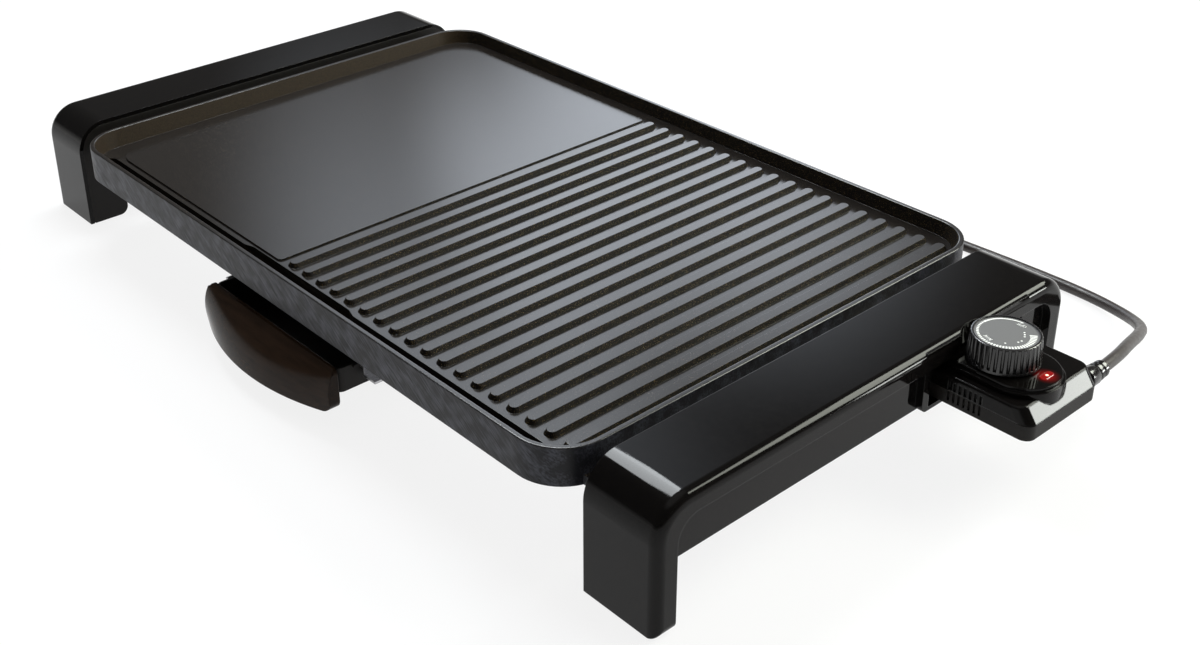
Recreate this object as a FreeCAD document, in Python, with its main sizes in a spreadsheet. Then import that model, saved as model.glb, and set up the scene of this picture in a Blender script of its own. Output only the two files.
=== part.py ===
import FreeCAD, Part
import math
import os
import re

import Sketcher
from FreeCAD import Placement, Rotation, Vector

# Electric griddle: a cast cooking plate, half smooth and half ribbed, carried
# between two moulded end legs, with a drip tray that slides out to the front
# and a plug-in thermostat at the right end.
# +X is the long axis towards the thermostat, +Y the back, +Z up.
# The origin is on the table, under the middle of the plate.

doc = FreeCAD.newDocument("ElectricGriddle")

# ---------------------------------------------------------------- sizes (mm)

SIZES = {
    # overall
    "overall_length": 600.0,
    "least_run": 0.1,
    "slot_radius": 1.0,
    # cooking plate
    "plate_leg_gap": 11.0,
    "plate_depth": 326.0,
    "plate_top": 70.5,
    "plate_wall_height": 21.5,
    "plate_corner_radius": 28.0,
    "rim_wall": 3.0,
    "rim_edge_radius": 0.7,
    "end_wall_run": 4.0,
    "side_wall_run": 1.2,
    "well_corner_radius": 22.0,
    "floor_depth": 10.25,
    "floor_fall": 0.4,
    "underside_depth": 16.0,
    "underside_wall": 10.5,
    "underside_radius": 18.0,
    # ribs and the smooth field
    "rib_count": 18,
    "rib_pitch": 14.0,
    "rib_end_margin": 10.1,
    "rib_top_width": 5.6,
    "rib_flank": 1.5,
    "rib_height": 2.6,
    "rib_front_margin": 4.1,
    "rib_back_margin": 9.3,
    "field_height": 1.0,
    "field_margin_end": 9.0,
    "field_margin_front": 3.8,
    "field_radius": 18.0,
    "field_corner_radius": 3.0,
    "field_rib_gap": 5.4,
    # grease gutter along the front
    "gutter_width": 11.6,
    "gutter_wall_gap": 0.5,
    "gutter_end_gap": 12.0,
    "gutter_depth": 18.3,
    "gutter_end_radius": 5.5,
    "bay_length": 98.0,
    "bay_extra": 2.2,
    "bay_slope": 7.0,
    "drain_length": 44.0,
    "drain_width": 6.0,
    # heating element
    "element_radius": 4.0,
    "element_bend": 25.0,
    "element_gap": 0.1,
    "element_left_gap": 41.0,
    "element_right_gap": 36.0,
    "element_front_gap": 34.6,
    "element_row": 65.0,
    "element_step": 70.0,
    "pin_radius": 2.5,
    "pin_reach": 20.5,
    "pin_spread": 34.0,
    "support_x": 90.0,
    "support_length": 30.0,
    "support_width": 8.0,
    # pan under the plate
    "pan_depth": 26.5,
    "pan_sheet": 1.2,
    "pan_wall": 5.4,
    "pan_gap": 2.0,
    "pan_radius": 16.0,
    "boss_radius": 5.5,
    "boss_inset": 19.0,
    "boss_margin": 13.6,
    "screw_radius": 2.0,
    "screw_head_radius": 3.6,
    "screw_head": 1.8,
    "screw_dome": 0.6,
    "screw_length": 7.0,
    "screw_spare": 1.0,
    "screw_gap": 0.05,
    # end legs
    "leg_width": 47.5,
    "leg_setback": 6.0,
    "leg_rise": 3.0,
    "leg_wall": 3.0,
    "leg_corner_radius": 14.0,
    "leg_edge_radius": 5.5,
    "leg_inner_edge_radius": 1.2,
    "leg_rim_depth": 5.0,
    "leg_rim_width": 13.0,
    "leg_band": 11.5,
    "leg_opening_radius": 13.0,
    "leg_ground_gap": 0.8,
    "leg_foot_radius": 0.6,
    "grip_gap": 2.7,
    "foot_wall": 28.5,
    "foot_radius": 6.0,
    "panel_sheet": 2.5,
    "cover_gap": 0.1,
    "tab_inset": 23.0,
    "tab_width": 22.0,
    "tab_reach": 24.0,
    "tab_gap": 0.3,
    "tab_hole_inset": 6.0,
    "leg_boss_x": 14.0,
    "pad_length": 36.0,
    "pad_width": 8.0,
    "pad_height": 2.4,
    # socket for the thermostat in the right leg
    "socket_inset": 81.0,
    "socket_width": 88.6,
    "socket_wall": 5.0,
    "socket_floor": 2.4,
    "socket_radius": 4.0,
    "socket_clearance": 0.6,
    "window_width": 52.0,
    "window_height": 14.0,
    "recess_depth": 3.6,
    # drip tray, its handle and its rails
    "tray_inset": 1.5,
    "tray_proud": 2.0,
    "tray_length": 120.0,
    "tray_height": 15.0,
    "tray_drop": 8.0,
    "tray_wall": 1.6,
    "tray_radius": 5.0,
    "flange_width": 2.0,
    "flange_sheet": 1.5,
    "rail_sheet": 1.5,
    "rail_gap": 0.5,
    "rail_drop": 7.0,
    "rail_setback": 13.0,
    "rail_length": 108.0,
    "rail_foot": 10.0,
    "rivet_inset": 10.0,
    "handle_width": 131.0,
    "handle_rise": 2.0,
    "handle_height": 26.0,
    "handle_top_end": 1.6,
    "handle_top_bow": 0.8,
    "handle_brow_drop": 5.0,
    "handle_brow_end": 5.0,
    "handle_brow_bow": 5.0,
    "handle_belly_drop": 14.0,
    "handle_belly_end": 7.0,
    "handle_belly_bow": 9.5,
    "handle_lip_end": 6.0,
    "handle_lip_bow": 13.5,
    "handle_top_radius": 4.5,
    "handle_low_radius": 6.0,
    "handle_wall": 2.4,
    "handle_roof_drop": 10.0,
    "handle_roof_end": 3.4,
    "handle_roof_bow": 8.1,
    "handle_screw_x": 34.0,
    # thermostat housing
    "stat_drop": 10.4,
    "stat_height": 17.0,
    "stat_base_height": 8.5,
    "stat_width": 62.0,
    "stat_reach": 52.5,
    "stat_slope": 6.0,
    "stat_back_gap": 1.5,
    "stat_corner_radius": 6.0,
    "stat_edge_radius": 1.4,
    "stat_wall": 2.2,
    "vent_count": 7,
    "vent_pitch": 3.1,
    "vent_width": 1.4,
    "vent_depth": 1.2,
    "vent_start": 4.5,
    "vent_low_margin": 2.5,
    "vent_high_margin": 3.0,
    "vent_bar": 1.0,
    "deck_width": 43.0,
    "deck_reach": 50.0,
    "deck_start": 1.0,
    "deck_height": 5.0,
    "deck_step": 2.2,
    "deck_step_width": 1.6,
    "deck_skirt": 10.0,
    "deck_wall": 3.0,
    # knob, dial and shaft
    "knob_reach": 17.5,
    "knob_offset": 4.5,
    "knob_radius": 18.9,
    "knob_top_radius": 17.8,
    "knob_height": 14.5,
    "knob_gap": 1.0,
    "knob_skirt": 1.4,
    "knob_edge": 1.0,
    "flute_count": 36,
    "flute_radius": 0.9,
    "dial_radius": 16.3,
    "dial_recess": 0.6,
    "dial_sheet": 1.0,
    "shaft_radius": 3.0,
    "shaft_gap": 0.05,
    "shaft_grip": 9.0,
    # parts inside and on the thermostat
    "nose_width": 48.0,
    "nose_reach": 11.5,
    "nose_floor": 0.8,
    "carrier_depth": 9.0,
    "sleeve_wall": 1.0,
    "sleeve_gap": 0.1,
    "probe_radius": 3.0,
    "probe_length": 124.0,
    "probe_guide_length": 72.0,
    "probe_guide_wall": 1.0,
    "probe_guide_gap": 0.1,
    "switch_length": 26.0,
    "switch_width": 26.0,
    "post_radius": 4.0,
    "post_start": 16.0,
    "post_pitch": 21.0,
    "post_inset": 6.8,
    "lens_inset": 8.6,
    "lens_offset": 2.2,
    "lens_length": 9.0,
    "lens_width": 4.0,
    "lens_proud": 0.5,
    "lens_depth": 4.0,
    "lamp_radius": 1.6,
    "relief_inset": 8.0,
    "relief_rise": 7.0,
    "relief_radius": 5.6,
    "relief_tip_radius": 4.4,
    "relief_length": 16.0,
    "relief_root": 4.0,
    "relief_root_radius": 4.0,
    # cord and plug
    "cord_radius": 3.4,
    "coil_offset": 209.5,
    "coil_distance": 102.0,
    "coil_radius": 37.4,
    "coil_half_width": 10.4,
    "coil_height": 14.0,
    "plug_offset": 364.5,
    "plug_distance": 95.0,
    "plug_radius": 18.4,
    "plug_length": 34.0,
    "plug_boot": 16.0,
    "boot_radius": 9.0,
    "boot_tip_radius": 4.6,
    "plug_pin_radius": 2.4,
    "plug_pin_length": 19.0,
    "plug_pin_spread": 19.0,
}

sheet = doc.addObject("Spreadsheet::Sheet", "Sizes")
for row, (alias, value) in enumerate(SIZES.items(), start=1):
    sheet.set(f"A{row}", alias)
    sheet.set(f"B{row}", str(value))
    sheet.setAlias(f"B{row}", alias)
doc.recompute()

# Places that several pieces share, worked out from the sizes.
LAYOUT = {
    "leg_outer": "overall_length / 2",
    "leg_inner": "leg_outer - leg_width",
    "plate_bottom": "plate_top - plate_wall_height",
    "plate_x": "leg_inner - plate_leg_gap",
    "plate_y": "plate_depth / 2",
    "floor_height": "plate_top - floor_depth",
    "underside_height": "plate_top - underside_depth",
    "gutter_floor": "plate_top - gutter_depth",
    "pan_height": "plate_top - pan_depth",
    "well_x": "plate_x - rim_wall - end_wall_run",
    "well_y": "plate_y - rim_wall - side_wall_run",
    "hollow_x": "plate_x - underside_wall",
    "hollow_back": "plate_y - underside_wall / 1.5",
    "gutter_front": "-well_y + gutter_wall_gap",
    "gutter_back": "gutter_front + gutter_width",
    "gutter_x": "well_x - gutter_end_gap",
    "hollow_front": "gutter_back + bay_extra + 2 * rim_wall / 3",
    "rib_front": "gutter_back + rib_front_margin",
    "rib_back": "well_y - rib_back_margin",
    "rib_base": "rib_top_width / 2 + rib_flank",
    "rib_first": "well_x - rib_end_margin - rib_pitch * (rib_count - 1)",
    "boss_x": "hollow_x - boss_inset",
    "boss_y": "-hollow_front - boss_margin",
    "leg_top": "plate_top + leg_rise",
    "leg_y": "plate_y - leg_setback",
    "tab_y": "leg_y - tab_inset",
    "socket_y": "leg_y - socket_inset",
    "leg_cavity_x": "leg_inner + leg_wall",
    "leg_rim_x": "leg_outer - leg_rim_depth",
    "band_bottom": "leg_top - leg_band",
    "element_z": "underside_height - element_gap - element_radius",
    "element_left": "element_left_gap - hollow_x",
    "element_right": "hollow_x - element_right_gap",
    "element_front": "hollow_front + element_front_gap",
    "element_return": "element_front + element_row",
    "element_inner": "element_left + element_step",
    "terminal_left": "socket_y - pin_spread / 2",
    "terminal_right": "socket_y + pin_spread / 2",
    "pan_floor": "pan_height + pan_sheet",
    "stat_bottom": "element_z - stat_drop",
    "stat_split": "stat_bottom + stat_base_height",
    "stat_top": "stat_bottom + stat_height",
    "grip_height": "stat_bottom - grip_gap",
    "socket_low": "stat_bottom - socket_clearance",
    "stat_front": "socket_y - stat_width / 2",
    "stat_back": "socket_y + stat_width / 2",
    "stat_inner": "leg_cavity_x + stat_back_gap",
    "stat_outer": "leg_outer + stat_reach",
    "vent_low": "stat_bottom + vent_low_margin",
    "vent_high": "stat_top - vent_high_margin",
    "post_near": "stat_inner + post_start",
    "post_far": "post_near + post_pitch",
    "relief_x": "stat_outer - relief_inset",
    "relief_z": "stat_bottom + relief_rise",
    "deck_top": "stat_top + deck_height",
    "deck_left": "leg_outer + deck_start",
    "deck_right": "leg_outer + deck_reach",
    "deck_front": "knob_y - deck_width / 2",
    "deck_back": "knob_y + deck_width / 2",
    "knob_x": "leg_outer + knob_reach",
    "knob_y": "socket_y - knob_offset",
    "lens_x": "deck_right - lens_inset",
    "lens_y": "knob_y + lens_offset",
    "knob_base": "deck_top + knob_gap",
    "knob_top": "knob_base + knob_height",
    "tray_x": "handle_width / 2 - tray_inset",
    "tray_front": "plate_y + tray_proud",
    "tray_top": "pan_height - tray_drop",
    "tray_bottom": "tray_top - tray_height",
    "rail_front": "plate_y - rail_setback",
    "handle_top": "tray_top + handle_rise",
    "handle_bottom": "handle_top - handle_height",
    "rail_x": "tray_x + flange_width + rail_gap",
    "rail_lip_top": "tray_top - flange_sheet - rail_gap / 2",
    "rail_bottom": "tray_top - rail_drop - rail_sheet",
    "rail_rivet_x": "rail_x + rail_sheet + rail_foot / 2",
    "rail_rivet_front": "rivet_inset * 2 - rail_front",
    "rail_rivet_back": "rail_length - rail_front - rivet_inset",
    "nose_bottom": "element_z - sleeve_radius - nose_floor",
    "nose_x": "stat_inner - nose_reach",
    "carrier_x": "stat_inner + carrier_depth",
    "stat_floor": "stat_bottom + stat_wall",
    "stat_ceiling": "stat_top - stat_wall",
    "sleeve_radius": "pin_radius + sleeve_gap + sleeve_wall",
    "guide_radius": "probe_radius + probe_guide_gap + probe_guide_wall",
    "deck_bottom": "deck_top - deck_skirt",
    "switch_top": "deck_bottom",
    "shelf_top": "grip_height + panel_sheet",
    "leg_boss_bottom": "shelf_top + screw_head",
    "tab_hole_x": "leg_cavity_x + tab_hole_inset",
    "socket_y0": "socket_y - socket_width / 2",
    "socket_y1": "socket_y + socket_width / 2",
    "leg_round": "leg_corner_radius + leg_edge_radius + slot_radius",
    "cavity_round": "leg_corner_radius + 2 * slot_radius",
    "coil_x": "relief_x - coil_offset",
    "coil_y": "stat_back + coil_distance",
    "plug_x": "relief_x - plug_offset",
    "plug_y": "stat_back + plug_distance",
    "plug_z": "plug_radius",
}

layout = doc.addObject("App::VarSet", "Layout")
WORD = re.compile(r"[a-z][a-z_0-9]*")
NEAR = 0.01


def bound(text):
    """Turn words into references to the sheet or to the shared places."""
    def swap(match):
        word = match.group()
        if word in SIZES:
            return "Sizes." + word
        if word in LAYOUT:
            return "Layout." + word
        return word
    return WORD.sub(swap, str(text))


for place, rule in LAYOUT.items():
    layout.addProperty("App::PropertyFloat", place)
for place, rule in LAYOUT.items():
    layout.setExpression(place, bound(rule).replace("Layout.", ""))
doc.recompute()


def at(name):
    """Read a size or a shared place as a number."""
    if name in SIZES:
        return float(sheet.get(name))
    return float(getattr(layout, name))


# ------------------------------------------------------------- small helpers

def bind(thing, **rules):
    """Tie properties to rules; a double underscore stands for a dot."""
    for prop, rule in rules.items():
        thing.setExpression(prop.replace("__", "."), bound(rule))


def number(rule):
    """Work a rule out once, for a sketch's first shape."""
    return float(sheet.evalExpression(bound(rule)))


def body(name):
    """Start a PartDesign body that carries its node's name."""
    made = doc.addObject("PartDesign::Body", name)
    made.Label = name
    return made


def origin_plane(owner, role):
    return next(f for f in owner.Origin.OriginFeatures if f.Role == role)


def sketch(owner, name, role="XY_Plane", offset="0", tilt="0"):
    """An empty sketch on a body's plane, raised by offset along its normal."""
    made = owner.newObject("Sketcher::SketchObject", name)
    made.AttachmentSupport = (origin_plane(owner, role), [""])
    made.MapMode = "FlatFace"
    made.AttachmentOffset = Placement(Vector(), Rotation(Vector(1, 0, 0), 0.01))
    bind(made, AttachmentOffset__Base__z=offset, AttachmentOffset__Rotation__Angle=tilt)
    return made


def pin(drawing, geo, point, x, y):
    """Hold one sketch point at the rules x and y."""
    for kind, rule, axis in (("DistanceX", x, -2), ("DistanceY", y, -1)):
        if str(rule) == "0":
            drawing.addConstraint(Sketcher.Constraint("PointOnObject", geo, point, axis))
            continue
        held = Sketcher.Constraint(kind, -1, 1, geo, point, number(rule))
        index = drawing.addConstraint(held)
        drawing.setExpression(f"Constraints[{index}]", bound(rule))


def line(drawing, start, end):
    first = Vector(number(start[0]), number(start[1]), 0)
    last = Vector(number(end[0]), number(end[1]), 0)
    return drawing.addGeometry(Part.LineSegment(first, last))


def join(drawing, geo, other, kind="Coincident"):
    """Join the end of one edge to the start of the next."""
    drawing.addConstraint(Sketcher.Constraint(kind, geo, 2, other, 1))


def polygon(drawing, points):
    """A closed outline through points given as pairs of rules."""
    ring = points[1:] + points[:1]
    edges = [line(drawing, start, end) for start, end in zip(points, ring)]
    for geo, other in zip(edges, edges[1:] + edges[:1]):
        join(drawing, geo, other)
    for geo, (x, y) in zip(edges, points):
        pin(drawing, geo, 1, x, y)


def circle(drawing, x, y, radius):
    centre = Vector(number(x), number(y), 0)
    geo = drawing.addGeometry(Part.Circle(centre, Vector(0, 0, 1), number(radius)))
    pin(drawing, geo, 3, x, y)
    index = drawing.addConstraint(Sketcher.Constraint("Radius", geo, number(radius)))
    drawing.setExpression(f"Constraints[{index}]", bound(radius))


def rounded(drawing, x0, x1, y0, y1, radii):
    """A rectangle with its corners rounded: near left, near right, far right, far left."""
    radii = [radii] * 4 if isinstance(radii, str) else radii
    corners = [(x0, y0), (x1, y0), (x1, y1), (x0, y1)]
    inward = [(1, 1), (-1, 1), (-1, -1), (1, -1)]
    turns = []
    for (x, y), (dx, dy), radius in zip(corners, inward, radii):
        size = number(radius)
        centre = Vector(number(x) + dx * size, number(y) + dy * size, 0)
        start = math.atan2(-dy, -dx) - math.pi / 4
        ring = Part.Circle(centre, Vector(0, 0, 1), size)
        turns.append(drawing.addGeometry(Part.ArcOfCircle(ring, start, start + math.pi / 2)))
    sides = []
    for turn, other in zip(turns, turns[1:] + turns[:1]):
        first = drawing.getPoint(turn, 2)
        last = drawing.getPoint(other, 1)
        sides.append(drawing.addGeometry(Part.LineSegment(first, last)))
    for index, side in enumerate(sides):
        join(drawing, turns[index], side, "Tangent")
        join(drawing, side, turns[(index + 1) % 4], "Tangent")
        kind = ("Horizontal", "Vertical")[index % 2]
        drawing.addConstraint(Sketcher.Constraint(kind, side))
        rule = (y0, x1, y1, x0)[index]
        axis = ("DistanceY", "DistanceX")[index % 2]
        held = drawing.addConstraint(Sketcher.Constraint(axis, -1, 1, side, 1, number(rule)))
        drawing.setExpression(f"Constraints[{held}]", bound(rule))
    for turn, radius in zip(turns, radii):
        held = drawing.addConstraint(Sketcher.Constraint("Radius", turn, number(radius)))
        drawing.setExpression(f"Constraints[{held}]", bound(radius))


def feature(owner, kind, drawing, name, **rules):
    """A pad, pocket or other feature made from one sketch."""
    made = owner.newObject("PartDesign::" + kind, name)
    made.Profile = drawing
    reverse = rules.pop("reverse", False)
    made.Reversed = reverse
    bind(made, **rules)
    drawing.Visibility = False
    doc.recompute()
    return made


def pad(owner, drawing, length, name="Pad", **more):
    return feature(owner, "Pad", drawing, name, Length=length, **more)


def pocket(owner, drawing, length, name="Pocket", **more):
    return feature(owner, "Pocket", drawing, name, Length=length, **more)


def loft(owner, kind, drawings, name):
    """An additive or subtractive loft from the first sketch through the rest."""
    made = owner.newObject("PartDesign::" + kind, name)
    made.Profile = drawings[0]
    made.Sections = drawings[1:]
    made.Ruled = len(drawings) == 2
    doc.recompute()
    return made


def edges_where(owner, test):
    """Names of the edges on a body's tip whose middle and direction pass a test."""
    names = []
    for index, edge in enumerate(owner.Tip.Shape.Edges, start=1):
        middle = edge.valueAt((edge.FirstParameter + edge.LastParameter) / 2)
        along = edge.tangentAt(edge.FirstParameter)
        if test(middle, along, edge):
            names.append(f"Edge{index}")
    return names


def round_edges(owner, test, radius, name="Round"):
    names = edges_where(owner, test)
    base = owner.Tip
    made = owner.newObject("PartDesign::Fillet", name)
    made.Base = (base, names)
    bind(made, Radius=radius)
    doc.recompute()
    return made


def repeat(owner, source, axis, length, count, name="Repeat"):
    """Repeat a feature in a line; the pattern becomes the body's tip."""
    made = owner.newObject("PartDesign::LinearPattern", name)
    made.Originals = [source]
    made.Direction = (origin_plane(owner, axis), [""])
    bind(made, Length=length, Occurrences=count)
    owner.Tip = made
    doc.recompute()
    return made


def spin(owner, source, count, name="Spin"):
    """Repeat a feature all round the body's own Z axis."""
    made = owner.newObject("PartDesign::PolarPattern", name)
    made.Originals = [source]
    made.Axis = (origin_plane(owner, "Z_Axis"), [""])
    made.Angle = 360
    bind(made, Occurrences=count)
    owner.Tip = made
    doc.recompute()
    return made


def block(name, x0, x1, y0, y1, z0, z1):
    """A box between bound sides."""
    made = doc.addObject("Part::Box", name)
    bind(made, Length=f"({x1}) - ({x0})", Width=f"({y1}) - ({y0})", Height=f"({z1}) - ({z0})")
    bind(made, Placement__Base__x=x0, Placement__Base__y=y0, Placement__Base__z=z0)
    return made


TURN = {
    "Z": Rotation(),
    "X": Rotation(Vector(0, 1, 0), 90),
    "Y": Rotation(Vector(1, 0, 0), -90),
}


def rod(name, x, y, z, radius, length, axis="Z"):
    """A cylinder that runs from x, y, z along +axis."""
    made = doc.addObject("Part::Cylinder", name)
    made.Placement = Placement(Vector(), TURN[axis])
    bind(made, Radius=radius, Height=length)
    bind(made, Placement__Base__x=x, Placement__Base__y=y, Placement__Base__z=z)
    return made


def cone(name, x, y, z, radius, end_radius, length, axis="Z"):
    made = doc.addObject("Part::Cone", name)
    made.Placement = Placement(Vector(), TURN[axis])
    bind(made, Radius1=radius, Radius2=end_radius, Height=length)
    bind(made, Placement__Base__x=x, Placement__Base__y=y, Placement__Base__z=z)
    return made


def fuse(name, shapes):
    made = doc.addObject("Part::MultiFuse", name)
    made.Shapes = shapes
    doc.recompute()
    return made


def cut(name, base, tools):
    made = doc.addObject("Part::Cut", name)
    made.Base = base
    made.Tool = tools[0] if len(tools) == 1 else fuse(name + "_tools", tools)
    doc.recompute()
    return made


def group(name, shapes):
    """Identical pieces kept as separate solids of one node."""
    made = doc.addObject("Part::Compound", name)
    made.Links = shapes
    doc.recompute()
    return made


NODES = []


def keep(node):
    """Mark a finished sub-part for export."""
    doc.recompute()
    NODES.append(node)
    return node


# ------------------------------------------------------------- cooking plate

def griddle_plate():
    """Cast plate: rim, sloping floor, smooth field, ribs, gutter and underside."""
    plate = body("griddle_plate")
    slab = sketch(plate, "SlabOutline", offset="plate_bottom")
    rounded(slab, "-plate_x", "plate_x", "-plate_y", "plate_y", "plate_corner_radius")
    pad(plate, slab, "plate_wall_height", "Slab")

    # Well: wider at the rim than at the floor, and the floor falls to the front.
    mouth = sketch(plate, "WellMouth", offset="plate_top")
    rounded(mouth, "rim_wall - plate_x", "plate_x - rim_wall", "rim_wall - plate_y",
            "plate_y - rim_wall", "plate_corner_radius - rim_wall")
    floor = sketch(plate, "WellFloor", offset="floor_height", tilt="floor_fall")
    rounded(floor, "-well_x", "well_x", "-well_y", "well_y", "well_corner_radius")
    loft(plate, "SubtractiveLoft", [mouth, floor], "Well")
    top = at("plate_top")
    round_edges(plate, lambda middle, along, edge: middle.z > top - NEAR, "rim_edge_radius", "Rim")

    # Smooth cooking field on the left.
    field = sketch(plate, "FieldOutline", offset="floor_height", tilt="floor_fall")
    rounded(field, "field_margin_end - well_x", "rib_first - rib_base - field_rib_gap",
            "gutter_back + field_margin_front", "well_y - rib_back_margin",
            ["field_radius", "field_corner_radius", "field_corner_radius", "field_radius"])
    pad(plate, field, "field_height", "Field")

    # Ribs on the right.
    rib = sketch(plate, "RibOutline", offset="floor_height", tilt="floor_fall")
    rounded(rib, "rib_first - rib_base", "rib_first + rib_base", "rib_front", "rib_back",
            "rib_base - least_run")
    rise = pad(plate, rib, "rib_height", "Rib", TaperAngle="-atan(rib_flank / rib_height)")
    repeat(plate, rise, "X_Axis", "rib_pitch * (rib_count - 1)", "rib_count", "Ribs")

    # Gutter along the front, with a wider bay over the drain.
    gutter = sketch(plate, "GutterOutline", offset="gutter_floor")
    rounded(gutter, "-gutter_x", "gutter_x", "gutter_front", "gutter_back", "gutter_end_radius")
    pocket(plate, gutter, "floor_height - gutter_floor", "Gutter", reverse=True)
    bay = sketch(plate, "BayOutline", offset="gutter_floor")
    middle = "gutter_front + gutter_width / 2"
    polygon(bay, [("-bay_length / 2 - bay_slope", middle), ("bay_length / 2 + bay_slope", middle),
                  ("bay_length / 2 + bay_slope", "gutter_back"),
                  ("bay_length / 2", "gutter_back + bay_extra"),
                  ("-bay_length / 2", "gutter_back + bay_extra"),
                  ("-bay_length / 2 - bay_slope", "gutter_back")])
    pocket(plate, bay, "floor_height - gutter_floor", "Bay", reverse=True)
    drain = sketch(plate, "DrainOutline", offset="plate_bottom")
    rounded(drain, "-drain_length / 2", "drain_length / 2", middle + " - drain_width / 2",
            middle + " + drain_width / 2", "drain_width / 2 - least_run")
    pocket(plate, drain, "plate_wall_height", "Drain", reverse=True)

    # Hollow underside, screw bosses, notch for the terminals, tabs for the legs.
    hollow = sketch(plate, "HollowOutline", offset="plate_bottom")
    rounded(hollow, "-hollow_x", "hollow_x", "hollow_front", "hollow_back", "underside_radius")
    pocket(plate, hollow, "underside_height - plate_bottom", "Hollow", reverse=True)
    bosses = sketch(plate, "BossOutline", offset="pan_floor")
    for side in ("-", ""):
        for y in ("boss_y", "-boss_y"):
            circle(bosses, side + "boss_x", y, "boss_radius")
    pad(plate, bosses, "underside_height - pan_floor", "Bosses")
    pilots = sketch(plate, "PilotOutline", offset="pan_floor")
    for side in ("-", ""):
        for y in ("boss_y", "-boss_y"):
            circle(pilots, side + "boss_x", y, "screw_radius")
    pocket(plate, pilots, "screw_length - pan_sheet", "Pilots", reverse=True)
    notch = sketch(plate, "NotchOutline", offset="plate_bottom")
    polygon(notch, [("hollow_x - slot_radius", "terminal_left - boss_radius"),
                    ("plate_x + slot_radius", "terminal_left - boss_radius"),
                    ("plate_x + slot_radius", "terminal_right + boss_radius"),
                    ("hollow_x - slot_radius", "terminal_right + boss_radius")])
    pocket(plate, notch, "underside_height - plate_bottom", "Notch", reverse=True)
    tabs = sketch(plate, "TabOutline", offset="plate_bottom")
    for y in ("tab_y", "-tab_y"):
        near = f"{y} - tab_width / 2"
        far = f"{y} + tab_width / 2"
        polygon(tabs, [("plate_x - rim_wall", near), ("plate_x + tab_reach", near),
                       ("plate_x + tab_reach", far), ("plate_x - rim_wall", far)])
        polygon(tabs, [("-plate_x - tab_reach", near), ("rim_wall - plate_x", near),
                       ("rim_wall - plate_x", far), ("-plate_x - tab_reach", far)])
    pad(plate, tabs, "underside_height - plate_bottom", "Tabs")
    holes = sketch(plate, "TabHoleOutline", offset="plate_bottom")
    for side in ("-", ""):
        for y in ("tab_y", "-tab_y"):
            circle(holes, f"{side}tab_hole_x", y, "screw_radius")
    pocket(plate, holes, "underside_height - plate_bottom", "TabHoles", reverse=True)
    keep(plate)


def route(drawing, points, radius):
    """An open line of level and upright runs with rounded corners."""
    spots = [Vector(number(x), number(y), 0) for x, y in points]
    size = number(radius)
    last = len(spots) - 1
    ways = [(b - a).normalize() for a, b in zip(spots, spots[1:])]
    runs = []
    for index, way in enumerate(ways):
        start = spots[index] + way * (size if index else 0)
        end = spots[index + 1] - way * (size if index + 1 < last else 0)
        runs.append(drawing.addGeometry(Part.LineSegment(start, end)))
        level = abs(way.y) < 0.5
        drawing.addConstraint(Sketcher.Constraint("Horizontal" if level else "Vertical", runs[-1]))
        rule = points[index][1] if level else points[index][0]
        kind = "DistanceY" if level else "DistanceX"
        place = Sketcher.Constraint(kind, -1, 1, runs[-1], 1, number(rule))
        held = drawing.addConstraint(place)
        drawing.setExpression(f"Constraints[{held}]", bound(rule))
    for index in range(1, last):
        before, after = ways[index - 1], ways[index]
        left = before.x * after.y - before.y * after.x > 0
        centre = spots[index] + (after - before) * size
        spoke = (before.y, -before.x) if left else (-after.y, after.x)
        start = math.atan2(spoke[1], spoke[0])
        ring = Part.Circle(centre, Vector(0, 0, 1), size)
        turn = drawing.addGeometry(Part.ArcOfCircle(ring, start, start + math.pi / 2))
        enter, leave = (1, 2) if left else (2, 1)
        drawing.addConstraint(Sketcher.Constraint("Tangent", runs[index - 1], 2, turn, enter))
        drawing.addConstraint(Sketcher.Constraint("Tangent", turn, leave, runs[index], 1))
        held = drawing.addConstraint(Sketcher.Constraint("Radius", turn, size))
        drawing.setExpression(f"Constraints[{held}]", bound(radius))
    for run, point, (x, y) in ((runs[0], 1, points[0]), (runs[-1], 2, points[-1])):
        held = drawing.addConstraint(Sketcher.Constraint("DistanceX", -1, 1, run, point, number(x)))
        drawing.setExpression(f"Constraints[{held}]", bound(x))


# --------------------------------------------------- heater, pan and contacts

def heating_element():
    """Sheathed rod bent into one long loop under the floor."""
    element = body("heating_element")
    path = sketch(element, "ElementPath", offset="element_z")
    route(path, [("hollow_x", "terminal_right"), ("element_left", "terminal_right"),
                 ("element_left", "element_front"), ("element_right", "element_front"),
                 ("element_right", "element_return"), ("element_inner", "element_return"),
                 ("element_inner", "terminal_left"), ("hollow_x", "terminal_left")],
          "element_bend")
    profile = sketch(element, "ElementProfile", role="YZ_Plane", offset="hollow_x")
    circle(profile, "terminal_right", "element_z", "element_radius")
    pipe = element.newObject("PartDesign::AdditivePipe", "ElementRod")
    pipe.Profile = profile
    pipe.Spine = (path, [])
    doc.recompute()
    keep(element)


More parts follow.
